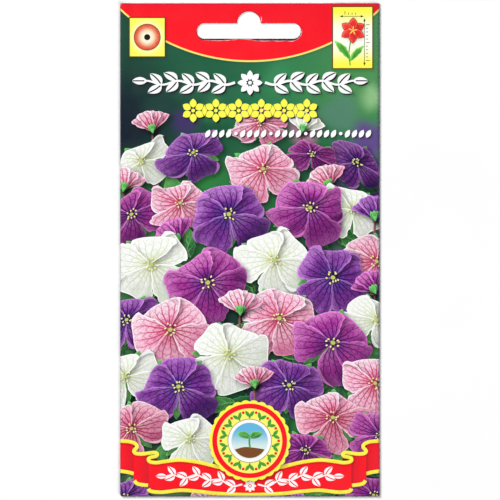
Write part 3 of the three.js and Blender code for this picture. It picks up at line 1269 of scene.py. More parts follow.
@dataclass(frozen=True)
class Pictograms:
    """The two small yellow boxes: a sun on the left, and a flower with two size arrows on the right."""

    sun_box: Box = (-37.05, -26.3, 59.65, 71.45)
    flower_box: Box = (25.6, 37.65, 56.0, 74.8)
    border: float = 0.3
    disc: float = 3.95
    point: float = 0.95
    flower_middle: Place = (31.7, 67.6)
    width_arrow: tuple[Place, Place] = ((27.6, 71.95), (35.1, 71.95))
    height_arrow: tuple[Place, Place] = ((35.25, 56.7), (35.25, 71.4))
    tick_pitch: float = 1.1

    def framed(self, box: Box, paint: Paint) -> list[Ink]:
        """A box with a thin dark border."""
        outer = box_outline(*np.array(box) + np.array([-1, 1, -1, 1]) * self.border)
        return [flat_ink(outer, BRONZE, 0.3, 0.8), Ink(resampled(box_outline(*box), 0.8), paint)]

    def sun(self) -> list[Ink]:
        """Draws a dark point in a disc that glows from cream to orange red.

        Returns:
            The box and the disc.
        """
        left, right, bottom, top = self.sun_box
        centre = np.array([(left + right) / 2, (bottom + top) / 2])

        def away(points: Points) -> np.ndarray:
            """Distance from the disc's middle."""
            return np.linalg.norm(points - centre, axis=1)

        ground = graded(away, tone(255, 252, 190), (tone(255, 252, 96), 3.6, 6.2))
        glow = graded(lambda points: away(points) / self.disc, tone(255, 251, 222),
                      (tone(249, 186, 138), 0.32, 0.76), (tone(224, 76, 54), 0.5, 0.95))
        rim = flat_ink(round_outline(centre, self.disc + 0.18, 64), BRONZE)
        disc = Ink(round_outline(centre, self.disc, 64), glow)
        point = flat_ink(round_outline(centre, self.point, 24), BLACK)
        return [*self.framed(self.sun_box, ground), rim, disc, point]

    def arrow(self, start: Place, end: Place) -> list[Ink]:
        """Draws a thin line with a head at both ends, and small even ticks on its outer side.

        Args:
            start: One tip.
            end: The other tip.

        Returns:
            The shapes.
        """
        start, end = np.array(start), np.array(end)
        length = np.linalg.norm(end - start)
        way = (end - start) / length
        aside = np.array([-way[1], way[0]])
        made = [stroke(np.array([start + way * 0.4, end - way * 0.4]), 0.16)]
        for tip, inward in ((start, way), (end, -way)):
            made.append(np.array([tip, tip + inward + aside * 0.34, tip + inward - aside * 0.34]))
        out = aside if way[0] > 0.5 else -aside
        for i in range(int(length / self.tick_pitch) - 2):
            spot = start + way * (self.tick_pitch * (i + 1.5)) + out * 0.5
            made.append(stroke(np.array([spot, spot + out * (1.1 if i % 5 == 0 else 0.6)]), 0.18))
        return flat_inks(made, BLACK)

    def flower(self) -> list[Ink]:
        """Draws a red flower on a stem with two leaves, between a width arrow and a height arrow.

        Returns:
            The box, the plant and the arrows.
        """
        bottom, top = self.flower_box[2:]

        def away(points: Points) -> np.ndarray:
            """Distance above or below the box's middle, in half heights."""
            return np.abs(points[:, 1] - (bottom + top) / 2) / ((top - bottom) / 2)

        made = self.framed(self.flower_box, graded(away, tone(255, 255, 240), (tone(255, 250, 78), 0.2, 0.9)))
        middle = np.array(self.flower_middle)
        stalk = smooth_line([middle, (30.7, 62.6), (30.5, 59.6), (30.9, 56.8)], 0.6)
        made.append(flat_ink(stroke(stalk, 0.34), GREEN))
        greens = Tints(tone(150, 220, 96), GREEN, tone(36, 116, 40), GREEN, tone(36, 116, 40))
        for base, angle, length, bend in (((30.8, 58.8), 122, 7.4, 0.14), ((30.8, 58.2), 56, 6.4, -0.14)):
            leaf = Petal(np.array(base), turned(math.radians(angle)), length, length * 0.34, greens,
                         Profile.LEAF, bend, teeth=0.2, vein_count=0.45, vein_strength=0.5, shadow=0.0)
            made.append(leaf.ink())
        reds = Tints(tone(255, 104, 84), tone(238, 48, 40), tone(176, 20, 26), tone(210, 28, 30),
                     tone(150, 16, 20))
        for way in [TURN * i / 6 + 0.5 for i in range(6)]:
            made.append(flat_ink(drop_leaf(middle, way, 4.05, 2.86), tone(136, 20, 22), 0.3, 0.4))
            petal = Petal(middle, turned(way), 3.85, 2.6, reds, Profile.LEAF, vein_strength=0.0, shadow=0.0)
            made.append(petal.ink())
        stamens = [drop_leaf(middle, TURN * i / 5 + 0.2, 1.5, 0.36) for i in range(5)]
        made += flat_inks(stamens, tone(252, 216, 110))
        return made + self.arrow(*self.width_arrow) + self.arrow(*self.height_arrow)

    def inks(self) -> list[Ink]:
        """Both boxes."""
        return self.sun() + self.flower()


@dataclass(frozen=True)
class Ribbon:
    """The red ribbon along the bottom, folded back twice at each end, with yellow edges.

    Its lines and corners are those of its right end, and are mirrored for the left one.
    """

    edge: float = 1.12
    top_line: tuple[Place, ...] = (
        (41.5, -58.8), (37.6, -58.95), (35.9, -59.35), (34.95, -60.0), (34.85, -60.8), (35.4, -61.4),
        (35.75, -62.0), (35.1, -62.65), (33.2, -62.8), (31.0, -62.5), (29.2, -62.35), (28.5, -62.85),
        (29.0, -63.5), (30.2, -63.75), (31.1, -64.1), (31.2, -64.8), (30.4, -65.3), (28.6, -65.45),
        (26.4, -65.1), (21.6, -64.6), (16.3, -65.2), (12.3, -66.1), (8.6, -66.9), (0.0, -67.5),
    )
    main_from: int = 17
    bottom_line: tuple[Place, ...] = (
        (31.2, -73.5), (30.6, -74.3), (27.1, -74.6), (21.5, -74.0), (16.3, -74.3), (11.1, -74.9),
        (5.5, -75.25), (0.0, -75.4),
    )
    fold_line: tuple[Place, ...] = ((31.4, -72.5), (33.9, -72.2), (35.0, -71.8), (35.55, -71.0))
    tail_line: tuple[Place, ...] = ((35.8, -68.9), (37.8, -68.4), (41.5, -67.9))
    tail: tuple[Place, ...] = ((35.7, -59.6), (41.5, -59.0), (41.5, -68.0), (35.7, -68.9))
    fold: tuple[Place, ...] = ((31.0, -63.9), (32.5, -62.9), (35.8, -62.6), (35.8, -71.3), (35.0, -72.0),
                               (31.0, -72.6))
    shades: tuple[tuple[Place, ...], ...] = (
        ((28.4, -64.1), (30.7, -64.25), (31.1, -64.6), (30.4, -65.0), (28.4, -65.0)),
        ((35.0, -60.1), (35.9, -60.0), (35.7, -61.2), (35.1, -60.9)),
    )

    def red(self, outline: Sequence[Place], side: int, light_at: float, dark_at: float) -> Ink:
        """Draws a red stretch of ribbon that darkens towards a fold.

        Args:
            outline: Its corners.
            side: 1 for the right end, -1 for the left.
            light_at: Distance from the middle where the red starts to darken.
            dark_at: Distance where it is darkest.

        Returns:
            The shape.
        """

        def paint(points: Points) -> Coat:
            """Red to deep red."""
            share = np.clip((np.abs(points[:, 0]) - light_at) / (dark_at - light_at), 0.0, 1.0)
            return Coat.plain(blend(RED, DEEP_RED, share), len(points))

        return Ink(resampled(np.array(outline) * (side, 1), 0.9), paint, 0.3, 0.5)

    def band(self, line: Sequence[Place], side: int) -> Ink:
        """Draws one yellow edge of the ribbon, golden along its lower side.

        Args:
            line: The edge's middle.
            side: 1 for the right end, -1 for the left.

        Returns:
            The shape.
        """
        course = smooth_line(line, 0.35) * (side, 1)

        def below(points: Points) -> np.ndarray:
            """How far below the middle, in half widths."""
            return -off_line(points, course)[:, 1] / (self.edge / 2)

        return Ink(stroke(course, self.edge), graded(below, YELLOW, (GOLD, 0.1, 1.0)), 0.35, 0.4)

    def inks(self) -> list[Ink]:
        """Draws the ribbon.

        Returns:
            The tails, the folds, the main band and its garland, from the back to the front.
        """
        made = []
        for side in (-1, 1):
            made += [self.red(self.tail, side, 39.5, 35.7), self.band(self.tail_line, side)]
        for side in (-1, 1):
            made += [self.red(self.fold, side, 34.8, 31.3), self.band(self.fold_line, side)]
        upper = smooth_line(self.top_line[self.main_from:], 0.6)
        lower = smooth_line(self.bottom_line, 0.8)
        right = np.vstack([lower[::-1], [[31.25, -65.2]], upper])
        made.append(flat_ink(np.vstack([right, (right * (-1, 1))[::-1]]), RED, 0.3, 0.5))
        for side in (-1, 1):
            made += flat_inks([np.array(corners) * (side, 1) for corners in self.shades], MAROON)
            made += [self.band(self.top_line, side), self.band(self.bottom_line, side)]
        vine = Garland(29.0, 3.3, 3.7, 0.5, 0.5, 1.9, lambda x: -72.6 + 2.9 * rise(2.0, 17.0, np.abs(x)))
        return made + flat_inks(vine.shapes(), WHITE)


@dataclass(frozen=True)
class Seal:
    """A plain round seal: a scalloped rim, a ring of leaf pairs and dots, and a seedling under a pale sky."""

    centre: Place = (-0.1, -58.7)
    reach: float = 12.6
    scallops: int = 28
    sprigs: int = 14
    sky: float = 5.6

    def inks(self) -> list[Ink]:
        """Draws the seal.

        Returns:
            Its discs, sprigs and seedling, from the back to the front.
        """
        centre = np.array(self.centre)
        angles = np.linspace(0.0, TURN, self.scallops * 8, endpoint=False)
        reach = self.reach - 0.5 * (1.0 - np.abs(np.sin(angles * self.scallops / 2)))
        made = [flat_ink(centre + reach[:, None] * arc(angles), YELLOW, 0.5, 1.0)]
        for radius, colour in ((11.5, RED), (10.0, tone(255, 248, 112)), (6.75, BRONZE), (6.6, WHITE)):
            made.append(flat_ink(round_outline(centre, radius, 96), colour))
        sky = graded(lambda points: points[:, 1] - centre[1], tone(104, 186, 226),
                     (tone(226, 244, 236), 3.5, -3.0))
        made.append(Ink(round_outline(centre, self.sky, 80), sky))
        step = turned(math.pi / self.sprigs)
        for i in range(self.sprigs):
            angle = TURN * (i + 0.5) / self.sprigs
            way = pointer(angle)
            sprig = [drop_leaf(centre + 7.4 * way, angle + fan, 2.3, 1.05) for fan in (0.62, -0.62)]
            made += flat_inks([*sprig, round_outline(centre + 7.2 * way, 0.3, 12)], GREEN)
            made.append(flat_ink(round_outline(centre + 8.9 * step @ way, 0.45, 14), RED))
        return made + self.seedling(centre)

    def seedling(self, centre: Points) -> list[Ink]:
        """Draws two leaves on a stalk in a mound of soil.

        Args:
            centre: The seal's middle.

        Returns:
            The shapes.
        """
        soil = smooth_line(centre + np.array([(-4.6, -2.6), (-1.6, -1.9), (1.4, -2.1), (4.6, -2.6)]), 0.5)
        rest = centre + 5.3 * arc(np.radians(np.linspace(-29.0, -151.0, 14)))
        stalk = smooth_line(centre + np.array([(0.1, -2.2), (-0.1, -0.4), (0.0, 1.2)]), 0.5)
        made = [flat_ink(np.vstack([soil, rest]), tone(124, 76, 40)), flat_ink(stroke(stalk, 0.55), GREEN)]
        for angle, bend in ((38, -0.3), (142, 0.3)):
            leaf = Petal(centre + (0.0, 0.9), turned(math.radians(angle)), 4.1, 2.5, LEAF, Profile.LEAF, bend,
                         vein_count=0.45, vein_strength=0.4, shadow=0.0, ripple=0.0)
            made.append(leaf.ink())
        return made


@dataclass(frozen=True)
class FrontPrint:
    """The whole print of the front panel, which runs on round its folds."""

    form: PacketForm
    title_y: float = 51.5
    second_y: float = 42.9
    third_y: float = 35.8

    def inks(self) -> list[Ink]:
        """Draws the panel.

        Returns:
            All shapes, from the blurred garden to the seal, cut off at the far side of the folds.
        """
        low = (-self.form.fold_at - self.form.fold_length, self.form.bottom_fold - self.form.fold_length)
        high = (-low[0], self.form.top)
        made = [Ink(box_outline(low[0], high[0], low[1], high[1]), GARDEN.paint)]
        made += Bouquet().inks() + HeaderBand(self.form).inks() + Pictograms().inks()
        title = Garland(36.4, 4.7, 4.9, 0.6, 0.8, 3.7, lambda x: np.full_like(x, self.title_y))
        made += shadowed(title.shapes(), WHITE, 0.42)
        made += shadowed(rosette_row(6, 7.0, self.second_y, 3.5), YELLOW, 0.4)
        made += shadowed(leaf_chain(-14.0, 37.6, self.third_y, 2.7, 2.15), WHITE, 0.26)
        made += Ribbon().inks() + Seal().inks()
        for ink in made:
            ink.outline = clipped(ink.outline, low, high)
        return [ink for ink in made if len(ink.outline) > 2]


class Mark(Enum):
    """The growing marks of the back panel, from left to right."""

    SUN = 0
    WATER = 1
    SEEDLING = 2


@dataclass(frozen=True)
class BackPrint:
    """A plain generic print of the back: a red head, marks, ruled lines, a year strip and upright bars."""

    form: PacketForm
    head: float = 50.0
    foot: float = -52.0
    line: float = 0.7
    overlap: float = 1.0
    half_text: float = 30.0
    paper: Colour = field(default_factory=lambda: tone(250, 246, 230))
    grey: Colour = field(default_factory=lambda: tone(120, 124, 118))
    green: Colour = field(default_factory=lambda: tone(60, 140, 76))

    def inks(self) -> list[Ink]:
        """Draws the panel.

        Returns:
            Its grounds, which run on over both flaps, and then all that stands on them.
        """
        form = self.form
        fold = form.fold_at + form.fold_length
        low = form.bottom_fold - form.fold_length
        made = []
        grounds = ((-form.top, form.top, self.paper), (self.head, form.top, RED),
                   (self.head - self.line, self.head, YELLOW), (-form.top, self.foot, self.green))
        side_end = fold + form.side_flap + self.overlap
        for left, right in ((form.back_place(form.right), -fold), (fold, side_end)):
            for bottom, top, colour in grounds:
                made.append(flat_ink(box_outline(left, right, bottom, top), colour))
        flap = box_outline(-form.right, form.right, low - form.bottom_flap - self.overlap, low)
        made.append(flat_ink(flap, self.green))
        drawn = [shape for kind in Mark for shape in self.mark(kind)] + self.text() + self.year()
        seen_from_behind = (form.back_place(0.0), 0.0)
        return made + [flat_ink(outline + seen_from_behind, colour) for outline, colour in drawn]

    def text(self) -> list[tuple[Points, Colour]]:
        """Rules two blocks of lines where text would stand, the last line of each shorter.

        Returns:
            The outlines with their colours, as seen from behind.
        """
        made = []
        for block, rows in ((28.0, 6), (6.0, 5)):
            for i in range(rows):
                right = self.half_text if i < rows - 1 else 8.0
                y = block - 3.0 * i
                made.append((box_outline(-self.half_text, right, y - 0.16, y + 0.16), self.grey))
        return made

    def year(self) -> list[tuple[Points, Colour]]:
        """Draws a strip of twelve months with its sowing and harvest times, and sixteen upright bars below.

        Returns:
            The outlines with their colours, as seen from behind.
        """
        made = []
        cell = 2 * self.half_text / 12
        fills = [WHITE] * 2 + [GOLD] * 3 + [tone(150, 200, 110)] * 4 + [WHITE] * 3
        for i, fill in enumerate(fills):
            left = -self.half_text + cell * i
            made.append((box_outline(left, left + cell, -26.0, -20.0), self.grey))
            made.append((box_outline(left + 0.15, left + cell - 0.15, -25.85, -20.15), fill))
        for i in range(16):
            left = -14.0 + 1.8 * i
            made.append((box_outline(left, -13.4 + 1.8 * i + 0.3 * (i % 3), -47.0, -36.0), BLACK))
        return made

    def mark(self, kind: Mark) -> list[tuple[Points, Colour]]:
        """Draws a round growing mark.

        Args:
            kind: The mark.

        Returns:
            The outlines with their colours, as seen from behind.
        """
        spot = np.array([-20.0 + 20.0 * kind.value, 39.0])
        made = [(round_outline(spot, 6.2, 48), self.green), (round_outline(spot, 5.6, 48), WHITE)]
        if kind is Mark.SUN:
            made.append((round_outline(spot, 2.2, 32), GOLD))
            for turn in [TURN * i / 8 for i in range(8)]:
                ray = drop_leaf(spot + turned(turn) @ np.array([2.7, 0.0]), turn, 2.0, 0.8)
                made.append((ray, GOLD))
        elif kind is Mark.WATER:
            made.append((drop_leaf(spot + (0.0, 4.0), -math.pi / 2, 7.4, 5.0), tone(70, 150, 210)))
        else:
            leaves = [drop_leaf(spot + (0.0, -0.6), math.radians(angle), 4.4, 2.3) for angle in (40, 140)]
            stalk = stroke(np.array([spot + (0.0, -4.4), spot + (0.0, -0.2)]), 0.6)
            made += [(outline, tone(80, 160, 60)) for outline in (*leaves, stalk)]
        return made


# Node groups and finishes


class NodeSketch:
    """Short ways to add and join nodes in one tree."""

    def __init__(self, tree: bpy.types.NodeTree) -> None:
        """Starts on an empty tree."""
        self.tree = tree
        tree.nodes.clear()

    def node(self, kind: str, inputs: Look | None = None, **settings: object) -> bpy.types.Node:
        """Adds a node.

        Args:
            kind: Blender's type name without its ShaderNode start.
            inputs: Values or sockets for its inputs, by name or number.
            settings: The node's own properties.

        Returns:
            The node.
        """
        node = self.tree.nodes.new(kind if kind.startswith("Node") else "ShaderNode" + kind)
        for name, value in settings.items():
            setattr(node, name, value)
        for key, value in (inputs or {}).items():
            if isinstance(value, Socket):
                self.tree.links.new(value, node.inputs[key])
            else:
                node.inputs[key].default_value = value
        return node

    def math(self, operation: str, *values: object, clamp: bool = False) -> Socket:
        """A sum, product or other operation on numbers."""
        return self.node("Math", dict(enumerate(values)), operation=operation, use_clamp=clamp).outputs[0]

    def vector(self, operation: str, *values: object) -> Socket:
        """An operation on vectors."""
        return self.node("VectorMath", dict(enumerate(values)), operation=operation).outputs[0]

    def mapped(self, value: object, low: float, high: float, start: float = 0.0, end: float = 1.0) -> Socket:
        """A number carried smoothly from the span low to high onto the span start to end."""
        inputs = {"Value": value, "From Min": low, "From Max": high, "To Min": start, "To Max": end}
        return self.node("MapRange", inputs, interpolation_type="SMOOTHSTEP").outputs[0]

    def mix(self, share: object, first: object, second: object) -> Socket:
        """A colour between two."""
        return self.node("Mix", {0: share, 6: first, 7: second}, data_type="RGBA").outputs[2]

    def noise(self, place: Socket, scale: float, detail: float = 2.0, roughness: float = 0.5) -> Socket:
        """Cloudy numbers round a half."""
        inputs = {"Vector": place, "Scale": scale, "Detail": detail, "Roughness": roughness}
        return self.node("TexNoise", inputs).outputs[0]

    def place(self) -> Socket:
        """The place on the piece, in metres."""
        return self.node("TexCoord").outputs["Object"]

    def attribute(self, name: str, output: str = "Fac") -> Socket:
        """Reads an attribute of the mesh."""
        return self.node("Attribute", attribute_name=name).outputs[output]

    def bump(self, height: Socket, strength: float, distance: float) -> Socket:
        """A normal that follows a height."""
        return self.node("Bump", {"Height": height, "Strength": strength, "Distance": distance}).outputs[0]

    def group(self, tree: bpy.types.NodeTree, **inputs: object) -> bpy.types.NodeOutputs:
        """Puts a node group in with its own values."""
        return self.node("Group", inputs, node_tree=tree).outputs


def draw_fibre(sketch: NodeSketch, fibre: Socket, wave: Socket) -> tuple[Socket, Socket]:
    """Draws the fine fibres and the gentle waviness of paper.

    Args:
        sketch: The group's nodes.
        fibre: Weight of the fibres.
        wave: Weight of the waves.

    Returns:
        Their height, and a mask of small flecks.
    """
    place = sketch.place()
    fibres = sketch.noise(sketch.vector("MULTIPLY", place, (1.0, 0.45, 1.0)), 5200.0, 3.0, 0.6)
    waves = sketch.math("MULTIPLY", sketch.noise(place, 900.0), wave)
    flecks = sketch.mapped(sketch.noise(place, 2600.0), 0.62, 0.78)
    return sketch.math("MULTIPLY_ADD", fibres, fibre, waves), flecks


def draw_wear(sketch: NodeSketch, nearness: Socket, amount: Socket) -> tuple[Socket]:
    """Draws rubbed places that are broken up by noise and grow towards edges.

    Args:
        sketch: The group's nodes.
        nearness: How near an edge is, from 0 to 1.
        amount: Weight of the nearness.

    Returns:
        Their mask.
    """
    broken = sketch.math("MULTIPLY_ADD", sketch.noise(sketch.place(), 1400.0, 4.0, 0.65), 0.9, -0.95)
    reach = sketch.math("MULTIPLY", sketch.math("MULTIPLY", nearness, amount), 1.15)
    return (sketch.mapped(sketch.math("ADD", reach, broken), 0.0, 0.35),)


def draw_veins(sketch: NodeSketch, place: Socket, amount: Socket) -> tuple[Socket, Socket]:
    """Draws the veins of printed petals and leaves: fanned main ones, side ones off them, and a fine mesh.

    Args:
        sketch: The group's nodes.
        place: Place along and across the petal, and the spacing of its main veins.
        amount: Strength of the veins.

    Returns:
        Their mask, and long soft streaks.
    """
    spot = sketch.place()
    along, across, spacing = sketch.node("SeparateXYZ", {0: place}).outputs
    lane = sketch.math("ADD", across, sketch.math("MULTIPLY_ADD", sketch.noise(spot, 260.0), 0.7, -0.35))
    number = sketch.math("ROUND", lane)
    aside = sketch.math("SUBTRACT", lane, number)
    away = sketch.math("MULTIPLY", sketch.math("ABSOLUTE", aside), spacing)
    taper = sketch.mapped(along, 0.0, 13.0, 1.5, 0.65)
    main = sketch.mapped(sketch.math("DIVIDE", away, taper), 0.07, 0.22, 1.0, 0.0)
    other_side = sketch.math("MULTIPLY", sketch.math("GREATER_THAN", aside, 0.0), 0.5)
    loose = sketch.math("MULTIPLY", sketch.noise(spot, 420.0, 1.0), 1.2)
    start = sketch.math("ADD", sketch.math("MULTIPLY_ADD", number, 0.39, loose), other_side)
    lean = sketch.math("MULTIPLY_ADD", away, -1.15, along)
    branch = sketch.math("MULTIPLY_ADD", lean, 0.46, start)
    split = sketch.math("ABSOLUTE", sketch.math("SUBTRACT", branch, sketch.math("ROUND", branch)))
    side = sketch.mapped(split, 0.035, 0.12, 0.85, 0.0)
    faded = sketch.math("MULTIPLY", side, sketch.mapped(away, 0.5, 2.6, 1.0, 0.2))
    cells = sketch.node("TexVoronoi", {"Vector": spot, "Scale": 760.0}, feature="DISTANCE_TO_EDGE")
    mesh = sketch.mapped(cells.outputs["Distance"], 0.02, 0.09, 0.34, 0.0)
    lines = sketch.math("MAXIMUM", sketch.math("MAXIMUM", main, faded), mesh)
    aside_mm = sketch.math("MULTIPLY", sketch.math("MULTIPLY", across, spacing), 2.6)
    silk = sketch.node("CombineXYZ", {0: sketch.math("MULTIPLY", along, 0.25), 1: aside_mm, 2: number})
    return sketch.math("MULTIPLY", lines, amount, clamp=True), sketch.noise(silk.outputs[0], 1.0)


def node_group(name: str, draw: Callable[..., tuple[Socket, ...]], outputs: Sequence[str],
               **inputs: float | None) -> bpy.types.NodeTree:
    """Makes a shader node group with named sockets.

    Args:
        name: The group's name.
        draw: Adds the group's nodes, and returns what each output reads.
        outputs: The names of the numbers that it puts out.
        inputs: The first value of each number that it takes, or nothing for a vector.

    Returns:
        The group.
    """
    tree = bpy.data.node_groups.new(name, "ShaderNodeTree")
    for label, value in inputs.items():
        kind = "NodeSocketVector" if value is None else "NodeSocketFloat"
        socket = tree.interface.new_socket(label, in_out="INPUT", socket_type=kind)
        if value is not None:
            socket.default_value = value
    for label in outputs:
        tree.interface.new_socket(label, in_out="OUTPUT", socket_type="NodeSocketFloat")
    sketch = NodeSketch(tree)
    start = sketch.node("NodeGroupInput")
    drawn = draw(sketch, *(start.outputs[label] for label in inputs))
    sketch.node("NodeGroupOutput", dict(zip(outputs, drawn)))
    return tree


class Groups:
    """The node groups that the finishes share, each built once."""

    def __init__(self) -> None:
        """Builds the groups."""
        self.fibre = node_group("paper_fibre", draw_fibre, ("Height", "Flecks"), Fibre=1.0, Wave=1.0)
        self.wear = node_group("handling_wear", draw_wear, ("Mask",), Nearness=0.0, Amount=1.0)
        self.veins = node_group("petal_veins", draw_veins, ("Veins", "Streaks"), Place=None, Amount=0.0)


@dataclass(frozen=True)
class Finish:
    """A finish of the packet or of the floor."""

    groups: Groups
    name: str

    def material(self) -> bpy.types.Material:
        """Builds the finish's material.

        Returns:
            The material, with one Principled shader.
        """
        material = bpy.data.materials.new(self.name)
        material.use_nodes = True
        sketch = NodeSketch(material.node_tree)
        shader = sketch.node("BsdfPrincipled", self.look(sketch))
        sketch.node("OutputMaterial", {"Surface": shader.outputs[0]})
        return material

    def look(self, sketch: NodeSketch) -> Look:
        """What the shader's inputs read, by name."""
        raise NotImplementedError


@dataclass(frozen=True)
class PrintedCoat(Finish):
    """Coated paper printed in full colour, with a satin varnish."""

    name: str = "printed_coat"
    relief: float = 0.00002
    roughness: float = 0.36
    varnish: float = 0.14
    bare: tuple[float, ...] = (0.86, 0.85, 0.82, 1.0)

    def look(self, sketch: NodeSketch) -> Look:
        """Draws the ink with its veins and silk, darker and lighter grain, and rubbed places.

        Args:
            sketch: The material's nodes.

        Returns:
            What the shader's inputs read.
        """
        place = sketch.place()
        amount = sketch.attribute("vein_amount")
        along_petal = sketch.attribute("vein_place", "Vector")
        veins, streaks = sketch.group(self.groups.veins, Place=along_petal, Amount=amount)
        drawn = sketch.mix(veins, sketch.attribute("ink", "Vector"), sketch.attribute("vein_ink", "Vector"))
        silk = sketch.math("MULTIPLY_ADD", sketch.mapped(streaks, 0.3, 0.7, -0.09, 0.09),
                           sketch.mapped(amount, 0.0, 0.3), 1.0)
        grain = sketch.mapped(sketch.noise(place, 3400.0), 0.3, 0.7, 0.965, 1.035)
        margin = sketch.mapped(sketch.attribute("margin"), 0.1, 0.42, 1.5, 1.0)
        brightness = sketch.math("MULTIPLY", sketch.math("MULTIPLY", silk, grain), margin)
        bright = sketch.node("VectorMath", {0: drawn, "Scale": brightness}, operation="SCALE").outputs[0]
        printed = sketch.vector("MINIMUM", bright, (1.0, 1.0, 1.0))
        (rubbed,) = sketch.group(self.groups.wear, Nearness=sketch.attribute("wear"))
        height, _ = sketch.group(self.groups.fibre, Fibre=0.35, Wave=0.8)
        smudges = sketch.mapped(sketch.noise(place, 120.0, 3.0), 0.35, 0.7, -0.05, 0.07)
        rough = sketch.math("ADD", sketch.math("MULTIPLY_ADD", rubbed, 0.3, self.roughness), smudges)
        return {
            "Base Color": sketch.mix(sketch.math("MULTIPLY", rubbed, 0.75), printed, self.bare),
            "Roughness": rough, "Normal": sketch.bump(height, 0.25, self.relief), "Specular IOR Level": 0.22,
            "Coat Weight": self.varnish, "Coat Roughness": 0.26,
        }


@dataclass(frozen=True)
class BarePaper(Finish):
    """The sheet's unprinted inside and its cut edges, with their fibres."""

    name: str = "bare_paper"
    relief: float = 0.00004

    def look(self, sketch: NodeSketch) -> Look:
        """Draws flecked off-white fibres.

        Args:
            sketch: The material's nodes.

        Returns:
            What the shader's inputs read.
        """
        height, flecks = sketch.group(self.groups.fibre, Fibre=1.0, Wave=0.4)
        return {
            "Base Color": sketch.mix(flecks, (0.84, 0.83, 0.79, 1.0), (0.70, 0.68, 0.62, 1.0)),
            "Roughness": sketch.mapped(height, 0.3, 1.0, 0.72, 0.9),
            "Normal": sketch.bump(height, 0.6, self.relief), "Specular IOR Level": 0.3,
        }


@dataclass(frozen=True)
class DriedGlue(Finish):
    """A thin dull film of glue with streaks from the roller and small bubbles."""

    name: str = "dried_glue"
    relief: float = 0.00003

    def look(self, sketch: NodeSketch) -> Look:
        """Draws pale streaks along the film, and pits where bubbles burst.

        Args:
            sketch: The material's nodes.

        Returns:
            What the shader's inputs read.
        """
        place = sketch.place()
        streaks = sketch.noise(sketch.vector("MULTIPLY", place, (0.15, 1.0, 1.0)), 900.0, 3.0)
        bubbles = sketch.node("TexVoronoi", {"Vector": place, "Scale": 1300.0}).outputs["Distance"]
        paper, _ = sketch.group(self.groups.fibre, Fibre=0.3, Wave=1.0)
        height = sketch.math("MULTIPLY_ADD", sketch.mapped(bubbles, 0.05, 0.22), 0.6, paper)
        tint = sketch.mapped(streaks, 0.3, 0.7)
        return {
            "Base Color": sketch.mix(tint, (0.80, 0.76, 0.62, 1.0), (0.90, 0.88, 0.80, 1.0)),
            "Roughness": sketch.mapped(streaks, 0.3, 0.7, 0.38, 0.55),
            "Normal": sketch.bump(height, 0.5, self.relief), "Subsurface Weight": 0.1,
        }


@dataclass(frozen=True)
class SeedCoat(Finish):
    """The smooth mottled brown coat of a nutlet, with a faint net of cells."""

    name: str = "seed_coat"
    relief: float = 0.00003

    def look(self, sketch: NodeSketch) -> Look:
        """Draws brown that differs from seed to seed, with dark mottles and small cells.

        Args:
            sketch: The material's nodes.

        Returns:
            What the shader's inputs read.
        """
        place = sketch.place()
        mottle = sketch.mapped(sketch.noise(place, 1100.0, 4.0, 0.6), 0.38, 0.66)
        tint = sketch.mapped(sketch.noise(place, 90.0, 1.0), 0.35, 0.65)
        ground = sketch.mix(tint, (0.16, 0.085, 0.045, 1.0), (0.24, 0.15, 0.08, 1.0))
        cells = sketch.node("TexVoronoi", {"Vector": place, "Scale": 5200.0}).outputs["Distance"]
        fibre, _ = sketch.group(self.groups.fibre, Fibre=0.2, Wave=0.4)
        return {
            "Base Color": sketch.mix(mottle, ground, (0.06, 0.032, 0.02, 1.0)),
            "Roughness": sketch.mapped(mottle, 0.0, 1.0, 0.42, 0.58),
            "Normal": sketch.bump(sketch.math("ADD", cells, fibre), 0.5, self.relief),
            "Specular IOR Level": 0.4,
        }


@dataclass(frozen=True)
class StudioFloor(Finish):
    """A dull pale floor with a faint unevenness."""

    name: str = "studio_floor"

    def look(self, sketch: NodeSketch) -> Look:
        """Draws two near whites in wide clouds.

        Args:
            sketch: The material's nodes.

        Returns:
            What the shader's inputs read.
        """
        shade = sketch.mapped(sketch.noise(sketch.place(), 14.0, 3.0), 0.3, 0.7)
        colour = sketch.mix(shade, (0.965, 0.965, 0.965, 1.0), (0.985, 0.985, 0.985, 1.0))
        return {"Base Color": colour, "Roughness": 0.9, "Specular IOR Level": 0.0}


# Pieces


def new_piece(name: str, vertices: Points, faces: Sequence[Sequence[int]] | np.ndarray,
              materials: Sequence[bpy.types.Material], slots: np.ndarray | None = None) -> bpy.types.Object:
    """Makes a mesh object.

    Args:
        name: The piece's name.
        vertices: Places in metres.
        faces: Corner numbers of each face.
        materials: The piece's materials in slot order.
        slots: Each face's slot, or nothing where all wear the first.

    Returns:
        The object, in the scene.
    """
    mesh = bpy.data.meshes.new(name)
    mesh.from_pydata(np.asarray(vertices).tolist(), [], np.asarray(faces).tolist())
    for material in materials:
        mesh.materials.append(material)
    if slots is not None:
        mesh.polygons.foreach_set("material_index", slots.astype(np.int32))
    mesh.update()
    piece = bpy.data.objects.new(name, mesh)
    bpy.context.scene.collection.objects.link(piece)
    return piece


